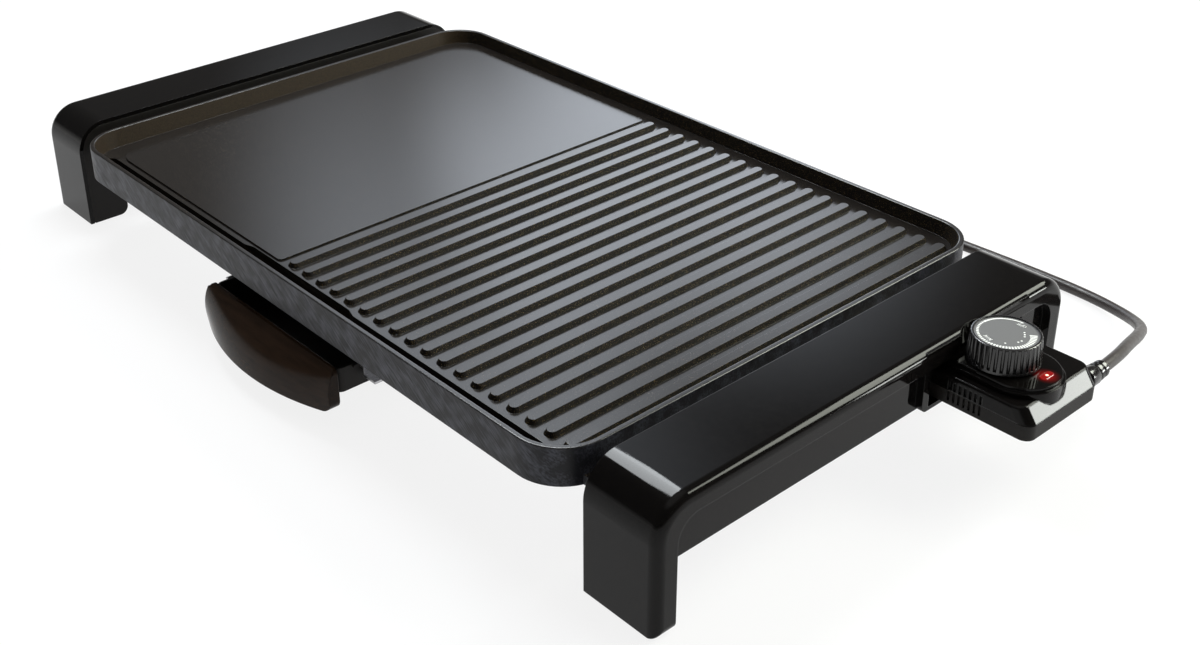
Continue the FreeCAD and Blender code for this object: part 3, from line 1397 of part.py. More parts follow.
def contact_sleeves():
    sleeves = []
    for y, word in (("terminal_left", "Near"), ("terminal_right", "Far")):
        skin = rod(f"Sleeve{word}Skin", "nose_x + sleeve_wall", y, "element_z", "sleeve_radius",
                   "carrier_x - nose_x - sleeve_wall", "X")
        hole = rod(f"Sleeve{word}Hole", "nose_x", y, "element_z", "pin_radius + sleeve_gap",
                   "carrier_x - nose_x", "X")
        sleeves.append(cut(f"Sleeve{word}", skin, [hole]))
    keep(group("contact_sleeves", sleeves))


def thermostat_inside():
    keep(rod("probe_rod", "carrier_x - probe_length", "socket_y", "element_z", "probe_radius",
             "probe_length", "X"))
    keep(block("switch_block", "knob_x - switch_length / 2", "knob_x + switch_length / 2",
               "knob_y - switch_width / 2", "knob_y + switch_width / 2", "stat_floor",
               "switch_top"))


# -------------------------------------------------------------- cord and plug

def strain_relief():
    """Tapered boot with a root that is held in the housing's back wall."""
    boot = cone("ReliefBoot", "relief_x", "stat_back", "relief_z", "relief_radius",
                "relief_tip_radius", "relief_length", "Y")
    root = rod("ReliefRoot", "relief_x", "stat_back - relief_root", "relief_z",
               "relief_root_radius", "relief_root", "Y")
    keep(fuse("strain_relief", [boot, root]))


# Route of the cord's middle line, from the strain relief to the coil and on to
# the plug. Each inner point is a corner that is rounded by a tangent arc.
LEAD = [
    ("relief_x", "stat_back + relief_length", "relief_z"),
    ("relief_x - 2.5", "stat_back + 36", "44.6"),
    ("relief_x - 9.5", "stat_back + 60", "38.5"),
    ("relief_x - 17", "stat_back + 86", "30"),
    ("relief_x - 28.5", "stat_back + 114", "18.5"),
    ("relief_x - 49.5", "stat_back + 137.5", "7.5"),
    ("coil_x + 127", "coil_y + 47.4", "cord_radius"),
    ("coil_x + 80", "coil_y + 47.2", "cord_radius"),
    ("coil_x + 22", "coil_y + 44.4", "cord_radius"),
]
TAIL = [
    ("coil_x - 17", "coil_y + 44.6", "10"),
    ("coil_x - 35", "coil_y + 43.6", "5"),
    ("coil_x - 50", "coil_y + 36", "3.5"),
    ("coil_x - 63", "coil_y + 23", "4.8"),
    ("plug_x + 81", "plug_y + 16", "8.8"),
    ("plug_x + 67", "plug_y + 4.5", "14.6"),
    ("plug_x + plug_length + plug_boot", "plug_y", "plug_z"),
]
BEND_SHARE = 0.45


def cord(name, points):
    """A round tube of straight runs joined by tangent arcs."""
    spots = [Vector(number(x), number(y), number(z)) for x, y, z in points]
    edges = []
    start = spots[0]
    for before, corner, after in zip(spots, spots[1:], spots[2:]):
        way_in = (corner - before).normalize()
        way_out = (after - corner).normalize()
        trim = BEND_SHARE * min((corner - before).Length, (after - corner).Length)
        enter = corner - way_in * trim
        leave = corner + way_out * trim
        half_turn = way_in.getAngle(way_out) / 2
        radius = trim / math.tan(half_turn)
        print(f"{name}: bend radius {radius:.0f} mm")
        heart = (way_out - way_in).normalize() * (radius / math.cos(half_turn))
        middle = corner + heart - heart.normalize() * radius
        edges.append(Part.makeLine(start, enter))
        edges.append(Part.Arc(enter, middle, leave).toShape())
        start = leave
    edges.append(Part.makeLine(start, spots[-1]))
    path = Part.Wire(edges)
    first = (spots[1] - spots[0]).normalize()
    ring = Part.Wire([Part.makeCircle(at("cord_radius"), spots[0], first)])
    tube = path.makePipeShell([ring], True, True)
    share = tube.Volume / (math.pi * at("cord_radius") ** 2 * path.Length)
    print(f"{name}: {path.Length:.0f} mm long, volume {share:.4f} of section times length")
    made = doc.addObject("Part::Feature", name)
    made.Shape = tube
    keep(made)


def cord_coil():
    """The rest of the cord, tied in a flat ring, as one solid of its outer shape."""
    outer = rod("CoilOuter", "coil_x", "coil_y", "0", "coil_radius + coil_half_width",
                "coil_height")
    inner = rod("CoilInner", "coil_x", "coil_y", "0", "coil_radius - coil_half_width",
                "coil_height")
    keep(cut("cord_coil", outer, [inner]))


def mains_plug():
    shell = rod("PlugShell", "plug_x", "plug_y", "plug_z", "plug_radius", "plug_length", "X")
    boot = cone("PlugBoot", "plug_x + plug_length", "plug_y", "plug_z", "boot_radius",
                "boot_tip_radius", "plug_boot", "X")
    keep(fuse("mains_plug", [shell, boot]))
    pins = []
    for side, word in (("-", "Front"), ("+", "Back")):
        pins.append(rod(f"PlugPin{word}", "plug_x - plug_pin_length",
                        f"plug_y {side} plug_pin_spread / 2", "plug_z", "plug_pin_radius",
                        "plug_pin_length", "X"))
    keep(group("plug_pins", pins))


griddle_plate()
heating_element()
terminals()
element_supports()
reflector_pan()
pan_screws()
leg_shell("left_leg_shell", "-", False)
leg_shell("right_leg_shell", "", True)
leg_cover("left_leg_cover", "-", False)
leg_cover("right_leg_cover", "", True)
leg_fittings()
drip_tray()
tray_handle()
handle_screws()
tray_rail("tray_rail_left", "-")
tray_rail("tray_rail_right", "")
rail_rivets()
thermostat_base()
thermostat_cover()
thermostat_deck()
housing_screws()
knob()
knob_fittings()
indicator()
contact_carrier()
contact_sleeves()
thermostat_inside()
strain_relief()
cord("cord_lead", LEAD)
cord_coil()
cord("cord_tail", TAIL)
mains_plug()


# ------------------------------------------------------------ check and export

def check_all():
    """Stop if any object failed to compute or any node isn't a sound solid."""
    doc.recompute()
    for thing in doc.Objects:
        broken = {"Invalid", "Error"} & set(thing.State)
        if broken:
            raise RuntimeError(f"{thing.Label} is {broken}")
    for node in NODES:
        shape = node.Shape
        if shape.isNull() or not shape.isValid() or not shape.Solids:
            raise RuntimeError(f"{node.Label} has no sound shape")


def export_all():
    os.makedirs("parts", exist_ok=True)
    for node in NODES:
        node.Shape.exportStep(f"parts/{node.Label}.step")
        box = node.Shape.optimalBoundingBox(False)
        print(f"{node.Label}: {len(node.Shape.Solids)} solid, "
              f"{node.Shape.Volume / 1000:.1f} cm3, "
              f"X {box.XMin:.1f} to {box.XMax:.1f}, Y {box.YMin:.1f} to {box.YMax:.1f}, "
              f"Z {box.ZMin:.1f} to {box.ZMax:.1f}")


check_all()
export_all()
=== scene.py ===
# %% [markdown]
# # An electric griddle, dressed
# The solid model of a table griddle comes in as named parts: a cast cooking
# plate between two moulded legs, a slide-out drip tray and a plug-in
# thermostat. This lesson gives each part the finish of the real thing, draws
# the cord and the small printed marks, and lights it like a catalogue shot.

import math

import bmesh
import bpy
from mathutils import Matrix, Vector
from mathutils.geometry import convex_hull_2d


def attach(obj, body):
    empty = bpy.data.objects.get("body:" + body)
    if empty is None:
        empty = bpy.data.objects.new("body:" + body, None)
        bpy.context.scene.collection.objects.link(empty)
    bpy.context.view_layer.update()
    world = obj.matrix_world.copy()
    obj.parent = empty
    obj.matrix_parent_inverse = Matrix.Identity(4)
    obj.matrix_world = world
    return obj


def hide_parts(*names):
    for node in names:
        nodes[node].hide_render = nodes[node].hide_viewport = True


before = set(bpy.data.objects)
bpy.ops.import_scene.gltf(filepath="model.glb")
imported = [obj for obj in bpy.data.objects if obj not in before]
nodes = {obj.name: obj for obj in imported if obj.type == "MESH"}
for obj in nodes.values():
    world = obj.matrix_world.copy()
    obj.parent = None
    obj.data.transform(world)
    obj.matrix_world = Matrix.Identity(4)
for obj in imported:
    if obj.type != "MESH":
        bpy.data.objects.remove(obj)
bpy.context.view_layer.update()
print("parts in the frame:", len(nodes))

# %% [markdown]
# Blender works in metres and the drawing in millimetres, so one factor turns
# one into the other. The bends between flat faces came in as facets, and
# smooth shading with an angle limit hides them without rounding real edges.

# %% Units and smooth shading
MM = 0.001
SMOOTH_LIMIT = math.radians(28)


def shade_smooth(thing):
    """Smooth the shading of a mesh, except across real edges."""
    bpy.ops.object.select_all(action="DESELECT")
    bpy.context.view_layer.objects.active = thing
    thing.select_set(True)
    bpy.ops.object.shade_smooth_by_angle(angle=SMOOTH_LIMIT)


for part in nodes.values():
    if not part.data.has_custom_normals:
        shade_smooth(part)
print("parts with their own normals:", sum(p.data.has_custom_normals for p in nodes.values()))

# %% [markdown]
# New things reach the scene in two steps: their data is wrapped in an object,
# and the object is linked into the collection. Meshes are built in a bmesh, a
# workbench that is cleared once its faces are handed over.

# %% Into the scene
def put(name, data):
    """Wrap data in an object and link it into the scene."""
    made = bpy.data.objects.new(name, data)
    bpy.context.scene.collection.objects.link(made)
    return made


def put_mesh(name, work):
    """Hand a bmesh over to a new object in the scene."""
    mesh = bpy.data.meshes.new(name)
    work.to_mesh(mesh)
    work.free()
    return put(name, mesh)


# %% [markdown]
# ## Camera
# The camera looks down at the griddle from its right front corner. Its place
# and turn are three angles and a point, so the camera's own three axes are
# worked out from them. A small shift slides the view without turning it, which
# keeps the perspective.

# %% Camera
AZIMUTH = math.radians(49.17)
ELEVATION = math.radians(26.41)
ROLL = math.radians(-0.76)
CAMERA_PLACE = Vector((669.4, -532.5, 483.5)) * MM
SENSOR_WIDTH = 36
FOCAL_LENGTH = 46.134
SHIFT_RIGHT = 0.0388
SHIFT_UP = -0.1022

back = Vector((
    math.sin(AZIMUTH) * math.cos(ELEVATION),
    -math.cos(AZIMUTH) * math.cos(ELEVATION),
    math.sin(ELEVATION),
))
right = Vector((math.cos(AZIMUTH), math.sin(AZIMUTH), 0))
up = back.cross(right)
tilted_right = right * math.cos(ROLL) + up * math.sin(ROLL)
tilted_up = up * math.cos(ROLL) - right * math.sin(ROLL)

lens = bpy.data.cameras.new("studio_camera")
lens.sensor_fit = "HORIZONTAL"
lens.sensor_width = SENSOR_WIDTH
lens.lens = FOCAL_LENGTH
lens.shift_x = SHIFT_RIGHT
lens.shift_y = SHIFT_UP
lens.clip_start = 10 * MM
camera = put("studio_camera", lens)
turn = Matrix((tilted_right, tilted_up, back)).transposed()
camera.matrix_world = Matrix.Translation(CAMERA_PLACE) @ turn.to_4x4()
bpy.context.scene.camera = camera
print("camera stands", round(CAMERA_PLACE.length, 2), "m from the griddle")

# %% [markdown]
# ## The mains lead
# A table griddle comes with about a metre and a half of round, flexible lead. It
# leaves the thermostat at the back through a stepped boot, falls to the table
# in one easy curve, and the length that isn't needed is wound into a neat
# coil, five turns in two layers, with the plug beside it. A mesh tube would
# need a ring of faces at every bend. One smooth spline through a few listed
# points gives a curve like a real cord's, and the coil's turns are more points
# of the same spline.

# %% The lead's route
THICK = 6.8
CORD = THICK * MM
LEAD = [
    (344.5, 123.0, 47.0), (342.0, 143.0, 44.6), (335.0, 167.0, 38.5),
    (327.5, 193.0, 30.0), (316.0, 221.0, 18.5), (295.0, 244.5, 7.5),
    (262.0, 256.4, 3.4), (215.0, 256.2, 3.4), (157.0, 253.4, 3.4),
]
TAIL = [
    (118.0, 253.6, 10.0), (100.0, 252.6, 5.0), (85.0, 245.0, 3.5),
    (72.0, 232.0, 4.8), (61.0, 218.0, 8.8), (47.0, 206.5, 14.6),
    (30.0, 202.0, 18.4),
]
print("cord", CORD, "m thick,", len(LEAD) + len(TAIL), "points outside the coil")

# %% [markdown]
# Every turn of the coil keeps its distance for most of the way round and then
# steps to the next place in a soft S: three turns inwards on the table, a
# climb, and two turns outwards on top of them. A plain spiral would drift all
# the way round, which no tied coil does.

# %% The coil's turns
COIL_HEART = Vector((135.0, 209.0))
INNER_TURN = 30.6
TURNS = 5
POINTS_A_TURN = 16
FIRST_ANGLE = 90
# each step's first and last angle, in degrees from +X, counted on from turn to turn
STEPS_IN = ((390, 450), (750, 810))
CLIMB = (1020, 1110)
STEPS_OUT = ((1290, 1380), (1650, 1740))


def around(angle, reach):
    """The offset of a point from its heart, angle in radians from +X."""
    return reach * Vector((math.cos(angle), math.sin(angle)))


def step_between(angle, start, end):
    """0 before start, 1 after end, and a soft step between them."""
    share = min(max((angle - start) / (end - start), 0), 1)
    return share * share * (3 - 2 * share)


def turn_at(angle):
    """How far from the coil's heart the cord runs at an angle, and how high, in mm."""
    inwards = sum(step_between(angle, *step) for step in STEPS_IN)
    outwards = sum(step_between(angle, *step) for step in STEPS_OUT)
    reach = INNER_TURN + THICK * (len(STEPS_IN) - inwards + outwards)
    return reach, THICK * (0.5 + step_between(angle, *CLIMB))


def coil_points():
    """Points round the turns; a spline cuts inside its corners, so they lie further out."""
    made = []
    for step in range(1, TURNS * POINTS_A_TURN):
        angle = FIRST_ANGLE + 360 * step / POINTS_A_TURN
        reach, height = turn_at(angle)
        corner_reach = reach / math.cos(math.pi / POINTS_A_TURN)
        spot = COIL_HEART + around(math.radians(angle), corner_reach)
        made.append((spot.x, spot.y, height))
    return made


route = [Vector(point) * MM for point in LEAD + coil_points() + TAIL]
print("points along the lead:", len(route), "with", TURNS, "turns")

# %% [markdown]
# The sleeve's thickness can be set on the whole curve or on its points. A
# curve's box grows by its points' radius, which starts at a metre, so here the
# points carry the cord's true radius and the curve's own depth is one.

# %% The lead
line = bpy.data.curves.new("mains_lead", "CURVE")
line.dimensions = "3D"
spline = line.splines.new("NURBS")
spline.points.add(len(route) - 1)
for point, place in zip(spline.points, route):
    point.co = (*place, 1)
    point.radius = CORD / 2
spline.order_u = 3
spline.use_endpoint_u = True
spline.resolution_u = 6
line.bevel_depth = 1
line.bevel_resolution = 5
mains_lead = put("mains_lead", line)
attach(mains_lead, "thermostat")
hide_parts("cord_lead", "cord_coil", "cord_tail")
print("lead drawn", CORD, "m thick")

# %% [markdown]
# Round parts such as the boot and the plug are turned on a lathe: a profile of
# distance along the axis and radius, spun into rings of faces. Blender's Screw
# modifier could spin it too, but bare rings are easier to cut a channel into.

# %% Lathe
def turned(name, profile, origin, along, sides=48):
    """A closed turned mesh; the profile's pairs are distance along and radius, in mm."""
    work = bmesh.new()
    spin = Vector(along).to_track_quat("Z", "Y")
    rings = []
    for distance, radius in profile:
        ring = []
        for side in range(sides):
            angle = 2 * math.pi * side / sides
            spot = Vector((math.cos(angle) * radius, math.sin(angle) * radius, distance))
            ring.append(work.verts.new(spin @ (spot * MM)))
        rings.append(ring)
    for low, high in zip(rings, rings[1:]):
        for side in range(sides):
            after = (side + 1) % sides
            work.faces.new((low[side], low[after], high[after], high[side]))
    work.faces.new(list(reversed(rings[0])))
    work.faces.new(rings[-1])
    made = put_mesh(name, work)
    made.location = Vector(origin) * MM
    shade_smooth(made)
    print(name, "has", len(profile), "rings of", sides)
    return made


# %% [markdown]
# The boot keeps the lead from kinking at the housing. It is moulded in one
# glossy piece: a smooth collar, then two rings with grooves between them, each
# a little thinner than the last. The grooves are real steps in the profile, as
# they show in the outline.

# %% The boot where the lead leaves the thermostat
BOOT_PLACE = (344.5, 107.0, 47.0)
# each ring's start along the boot and its radius, in mm
BOOT_RINGS = ((7.4, 5.1), (11.6, 4.8))
boot_profile = [(-4.0, 4.0), (0.0, 4.0), (0.0, 5.3), (0.4, 5.6), (6.6, 5.5), (7.2, 5.2)]
for start, size in BOOT_RINGS:
    boot_profile += [(start, size - 0.5), (start + 0.7, size - 0.5), (start + 1.0, size - 0.1),
                     (start + 1.3, size), (start + 3.7, size - 0.1), (start + 4.0, size - 0.3)]
boot_profile += [(15.9, 4.2), (16.0, 3.5)]
cord_boot = turned("cord_boot", boot_profile, BOOT_PLACE, (0, 1, 0))
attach(cord_boot, "thermostat")
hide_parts("strain_relief")
print("boot is 20 mm long, 4 mm of it inside the housing")

# %% [markdown]
# The plug is moulded round the end of the lead. Its round shell has a rim at
# the face, shallow rings for the fingers and a shoulder that narrows into a
# ribbed boot. It is spun in one piece. Then the points near the top and the
# bottom are pressed in, for the channels that take the earth contacts.

# %% The plug
PLUG_X, PLUG_Y, PLUG_Z = -20.0, 202.0, 18.4
GRIP_RINGS = 4
BOOT_RIBS = 5
CHANNEL_FLOOR = 16.6 * MM
CHANNEL_SIDE = 4.5 * MM
CHANNEL_END = 24.5 * MM


def ribbed(start, end, first, last, ribs, depth):
    """Profile of a tapered boot with ribs between grooves."""
    pitch = (end - start) / ribs
    profile = []
    for rib in range(ribs):
        size = first + (last - first) * rib / ribs
        low = start + rib * pitch
        profile += [(low, size - depth), (low + 0.3 * pitch, size - depth),
                    (low + 0.42 * pitch, size), (low + 0.88 * pitch, size)]
    return profile


plug_profile = [(0.0, 15.2), (0.0, 17.4), (0.4, 18.1), (1.2, 18.4), (13.0, 18.4), (13.8, 18.2)]
for ring in range(GRIP_RINGS):
    start = 14.2 + 3.0 * ring
    size = 17.6 - 0.75 * ring
    plug_profile += [(start, size - 0.7), (start + 0.9, size - 0.8), (start + 1.3, size),
                     (start + 2.5, size - 0.2)]
plug_profile += [(27.0, 14.2), (30.0, 13.1), (32.4, 11.4), (33.6, 9.8), (34.0, 9.0)]
plug_profile += ribbed(34.4, 49.0, 8.8, 5.0, BOOT_RIBS, 1.1)
plug_profile += [(49.4, 4.8), (50.0, 4.4), (50.0, 3.5)]
plug_body = turned("plug_body", plug_profile, (PLUG_X, PLUG_Y, PLUG_Z), (1, 0, 0), sides=64)
for vertex in plug_body.data.vertices:
    if abs(vertex.co.y) < CHANNEL_SIDE and vertex.co.x < CHANNEL_END:
        vertex.co.z = min(max(vertex.co.z, -CHANNEL_FLOOR), CHANNEL_FLOOR)
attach(plug_body, "thermostat")
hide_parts("mains_plug")
print("plug is 50 mm long with its boot")

# %% [markdown]
# Thin strips are bent from sheet: a path in the strip's own plane, drawn out to
# its width and given a thickness by a Solidify modifier. Two extra rows close
# to the edges keep the middle's smooth shading flat across.

# %% Strips
ROWS = (-0.5, -0.46, 0.46, 0.5)


def strip(name, path, origin, across, width, thickness):
    """A strip along a path of (run, height) pairs in mm, lying across a direction."""
    work = bmesh.new()
    side = Vector(across).normalized()
    run = Vector((side.y, -side.x, 0))
    rows = []
    for edge in ROWS:
        rows.append([work.verts.new((run * far + Vector((0, 0, high)) + side * width * edge) * MM)
                     for far, high in path])
    for low, high in zip(rows, rows[1:]):
        for spot in range(len(path) - 1):
            work.faces.new((low[spot], low[spot + 1], high[spot + 1], high[spot]))
    made = put_mesh(name, work)
    made.location = Vector(origin) * MM
    thick = made.modifiers.new("thickness", "SOLIDIFY")
    thick.thickness = thickness * MM
    thick.offset = 0
    shade_smooth(made)
    print(name, "has", len(path), "points along its path")
    return made


# %% [markdown]
# The coil's tie is a strip of hook and loop tape drawn tight round the turns.
# Tight tape takes the shortest way round a bundle, which is the hull of the
# turns' sections, so the path is that hull and needs no simulation. Its end
# laps over its start.

# %% The coil's tie
TIE_ANGLE = 200
TIE_WIDTH = 9.0
TIE_THICK = 0.7
TIE_GAP = 0.5
SECTION_SIDES = 24
LAP_POINTS = 9
LAP_LIFT = 0.8
LAP_LEAN = 0.2
ring_points = []
for number in range(TURNS):
    far, high = turn_at(TIE_ANGLE + 360 * number)
    for side in range(SECTION_SIDES):
        angle = 2 * math.pi * side / SECTION_SIDES
        reach = THICK / 2 + TIE_GAP
        ring_points.append((far + reach * math.cos(angle),
                            max(high + reach * math.sin(angle), TIE_THICK / 2)))
hull = [Vector(ring_points[spot]) for spot in convex_hull_2d(ring_points)]
middle = sum(hull, Vector((0, 0))) / len(hull)
lap_start = max(range(len(hull)), key=lambda spot: hull[spot].y - LAP_LEAN * hull[spot].x)
loop = hull[lap_start:] + hull[:lap_start]
lap = [spot + (spot - middle).normalized() * LAP_LIFT for spot in loop[:LAP_POINTS]]
tie_turn = math.radians(TIE_ANGLE)
outwards = Vector((math.cos(tie_turn), math.sin(tie_turn), 0))
coil_tie = strip("coil_tie", [tuple(spot) for spot in loop + [loop[0]] + lap],
                 (*COIL_HEART, 0), (-outwards.y, outwards.x, 0), TIE_WIDTH, TIE_THICK)
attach(coil_tie, "thermostat")
print("tie goes round", TURNS, "turns")

# %% [markdown]
# An earthed plug has a spring contact on two opposite sides, sunk in the shell
# between the pins. Each is a strip with its ends bent inwards.

# %% Earth contacts
CLIP_PATH = [(-6.6, -0.9), (-6.2, -0.1), (-5.0, 0.4), (0.0, 0.6), (5.0, 0.4), (6.2, -0.1),
             (6.6, -0.9)]
CLIP_MIDDLE = 8.0
CLIP_WIDTH = 5.0
CLIP_THICK = 0.5
# name, height in mm, and 1 where it bulges up or -1 where it bulges down
CLIPS = (("earth_clip_top", 35.2, 1), ("earth_clip_low", 1.6, -1))
earth_clips = []
for name, height, flip in CLIPS:
    path = [(far, high * flip) for far, high in CLIP_PATH]
    clip = strip(name, path, (PLUG_X + CLIP_MIDDLE, PLUG_Y, height), (0, 1, 0), CLIP_WIDTH,
                 CLIP_THICK)
    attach(clip, "thermostat")
    earth_clips.append(clip)
print("earth contacts:", len(earth_clips))

# %% [markdown]
# The cord's own facts, as its maker would give them, are where it starts, how
# long and thick it is, how stiff, and what hangs on it. The length is that of
# the whole lead, turns and all. This cell sets none of them and only prints.

# %% The cord's own facts
print("cord facts: none set here")

# %% [markdown]
# ## The dial's print
# The dial is a grey disc with white print: a ring of strokes that grow with the
# heat, one to three dots inside it, and the words for both ends. Screen print
# stands a few hundredths of a millimetre high, so each mark is a thin plate. A
# drawn texture would do as well, but plates stay sharp at any distance.

# %% Marks for the dial
KNOB_HEART = Vector((317.5, 71.5))
PRINT_LOW = 76.86
PRINT_HIGH = 76.95
RING_OUTER = 14.9
RING_START = 38
RING_SWEEP = 308
STROKES = 50
SHORTEST = 0.7
GROWTH = 1.4
HOT_GROWTH = 1.7
BLOCK_FILL = 0.62
LINE_BELOW = 0.3
DOT_RADIUS = 0.52
DOT_SIDES = 16


def at_dial(angle, reach):
    """A point on the dial, angle in degrees from +X, in mm."""
    return KNOB_HEART + around(math.radians(angle), reach)


def ring_strokes():
    """Short blocks that widen towards the hot end, and a thin line at the cold one."""
    made = []
    pitch = RING_SWEEP / STROKES
    for stroke in range(STROKES):
        heat = 1 - stroke / STROKES
        depth = SHORTEST + GROWTH * heat + HOT_GROWTH * heat ** 6
        fill = BLOCK_FILL if heat > LINE_BELOW else 1.0
        first = RING_START - pitch * stroke
        last = first - pitch * fill
        made.append([at_dial(first, RING_OUTER), at_dial(first, RING_OUTER - depth),
                     at_dial(last, RING_OUTER - depth), at_dial(last, RING_OUTER)])
    return made


def dots(spots):
    """Small round marks at pairs of angle and reach."""
    return [[at_dial(angle, reach) + around(2 * math.pi * side / DOT_SIDES, DOT_RADIUS)
             for side in range(DOT_SIDES)] for angle, reach in spots]


marks = ring_strokes()
print("strokes on the ring:", len(marks))

# %% [markdown]
# Letters this small are a few straight strokes of one width, so they are drawn
# from listed strokes instead of taken from a typeface. They stand with their
# heads to the dial's middle, so they read along the ring.

# %% Letters for the dial
LETTER_STROKES = {
    "O": [(0.3, 0, 0.9, 0), (0.9, 0, 1.2, 0.4), (1.2, 0.4, 1.2, 1.6), (1.2, 1.6, 0.9, 2),
          (0.9, 2, 0.3, 2), (0.3, 2, 0, 1.6), (0, 1.6, 0, 0.4), (0, 0.4, 0.3, 0)],
    "F": [(0, 0, 0, 2), (0, 2, 1.1, 2), (0, 1.1, 0.9, 1.1)],
    "M": [(0, 0, 0, 2), (0, 2, 0.6, 1), (0.6, 1, 1.2, 2), (1.2, 2, 1.2, 0)],
    "I": [(0.6, 0, 0.6, 2)],
    "N": [(0, 0, 0, 2), (0, 2, 1.2, 0), (1.2, 0, 1.2, 2)],
}
LETTER_STEP = 1.75
LETTER_INSET = 0.25
STROKE_WIDTH = 0.32


def lettering(word, angle, reach):
    """Strokes of a word centred at an angle, with its feet on a circle."""
    made = []
    heart = at_dial(angle, reach)
    inwards = (KNOB_HEART - heart).normalized()
    along = Vector((inwards.y, -inwards.x))
    for place, letter in enumerate(word):
        shift = (place - len(word) / 2) * LETTER_STEP + LETTER_INSET
        for x0, y0, x1, y1 in LETTER_STROKES[letter]:
            start = heart + along * (shift + x0) + inwards * y0
            end = heart + along * (shift + x1) + inwards * y1
            run = (end - start).normalized() * STROKE_WIDTH / 2
            side = Vector((-run.y, run.x))
            made.append([start - run - side, end + run - side, end + run + side,
                         start - run + side])
    return made


print("letters known:", len(LETTER_STROKES))

# %% [markdown]
# All marks go into one mesh: each outline is set down twice, at the bottom and
# at the top of the ink, and walls join the two.

# %% The print on the dial
marks += dots([(51, 9.0), (38, 8.8), (25, 8.8), (-5, 9.3), (-19, 9.3), (-60, 9.9)])
marks += lettering("OFF", 87, 13.2)
marks += lettering("MIN", -110, 12.2)
work = bmesh.new()
for outline in marks:
    low = [work.verts.new((*(spot * MM), PRINT_LOW * MM)) for spot in outline]
    high = [work.verts.new((*(spot * MM), PRINT_HIGH * MM)) for spot in outline]
    work.faces.new(low)
    work.faces.new(high)
    for side in range(len(outline)):
        after = (side + 1) % len(outline)
        work.faces.new((low[side], low[after], high[after], high[side]))
bmesh.ops.recalc_face_normals(work, faces=work.faces)
dial_print = put_mesh("dial_print", work)
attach(dial_print, "knob")
print("marks printed:", len(marks))

# %% [markdown]
# ## A few tools for materials
# Paint and plastic are known by hex values, which are written in sRGB, so one
# function turns them into the linear light that the renderer adds up. A second
# one adds a node, sets its options and wires its inputs, and a third turns a
# real spacing in millimetres into a texture's scale.

# %% Material tools
def colour(hex_value):
    """An sRGB hex value as linear RGBA."""
    parts = [int(hex_value[i:i + 2], 16) / 255 for i in (1, 3, 5)]
    linear = [c / 12.92 if c <= 0.04045 else ((c + 0.055) / 1.055) ** 2.4 for c in parts]
    return (*linear, 1.0)


def add(tree, kind, options=None, inputs=None):
    """Add a node; an input given as a socket is wired, anything else is set."""
    made = tree.nodes.new("ShaderNode" + kind)
    for name, value in (options or {}).items():
        setattr(made, name, value)
    for name, value in (inputs or {}).items():
        if isinstance(value, bpy.types.NodeSocket):
            tree.links.new(value, made.inputs[name])
        else:
            made.inputs[name].default_value = value
    return made


def every(millimetres):
    """Texture scale for features this far apart."""
    return 1 / (millimetres * MM)


print("mid grey is", [round(c, 3) for c in colour("#808080")])

# %% [markdown]
# Every finish starts in the same way, as a Principled shader with a few
# settings, and ends in the same way, with a colour, a gloss and a relief. No
# moulded or cast edge is sharp, and a thin line of light runs along each. Real
# bevels would change the solid, so the Bevel node rounds the edges in the
# shading alone, and the relief lies on top of that.

# %% Start and end of a finish
def bare(name, looks):
    """A new material and its parts; looks are settings of its Principled shader."""
    made = bpy.data.materials.new(name)
    made.use_nodes = True
    tree = made.node_tree
    shader = tree.nodes["Principled BSDF"]
    for socket, value in looks.items():
        shader.inputs[socket].default_value = value
    place = add(tree, "TexCoord").outputs["Object"]
    return made, tree, shader, place


def clothe(tree, shader, hue, level, height, depth, edge):
    """Wire colour, roughness and relief; the relief's depth and the edges' radius in mm."""
    soft = add(tree, "Bevel", {"samples": 4}, {"Radius": edge * MM})
    bump = add(tree, "Bump", inputs={"Height": height, "Distance": depth * MM,
                                     "Normal": soft.outputs[0]})
    tree.links.new(hue, shader.inputs["Base Color"])
    tree.links.new(level, shader.inputs["Roughness"])
    tree.links.new(bump.outputs[0], shader.inputs["Normal"])


print("materials so far:", len(bpy.data.materials))

# %% [markdown]
# Most surfaces here are one thing all over: moulded, rolled, pressed or fired.
# Their grain shows in three ways at once, as a slight change of colour, of
# gloss and of height. One recipe draws the grain once and uses it for all
# three; stretching it gives the long lines of rolled or drawn metal. Noise
# keeps mostly between 0.3 and 0.7, so that span is spread over the whole range
# of gloss. The Mix node's sockets 6 and 7 are its two colours.

# %% A grained skin
NOISE_LOW = 0.3
NOISE_HIGH = 0.7


def skin(name, looks, grain, hues, gloss, depth, stretch=(1, 1, 1), edge=0.15):
    """A finish with one grain.

    grain is its spacing, depth its relief and edge the rounding of sharp edges,
    in mm; hues are its two colours and gloss its two roughnesses.
    """
    made, tree, shader, place = bare(name, looks)
    drawn = add(tree, "Mapping", inputs={"Vector": place, "Scale": stretch})
    cloud = add(tree, "TexNoise", inputs={"Vector": drawn.outputs[0], "Scale": every(grain),
                                          "Detail": 3.0}).outputs["Fac"]
    hue = add(tree, "Mix", {"data_type": "RGBA"},
              {"Factor": cloud, 6: colour(hues[0]), 7: colour(hues[1])})
    level = add(tree, "MapRange", inputs={"Value": cloud, "From Min": NOISE_LOW,
                                          "From Max": NOISE_HIGH, "To Min": gloss[0],
                                          "To Max": gloss[1]})
    clothe(tree, shader, hue.outputs[2], level.outputs[0], cloud, depth, edge)
    print(name, "has a grain of", grain, "mm")
    return made


def dress(pieces, *finishes):
    """Give parts their finishes; the first covers every face."""
    for piece in pieces:
        part = nodes[piece] if isinstance(piece, str) else piece
        part.data.materials.clear()
        for made in finishes:
            part.data.materials.append(made)


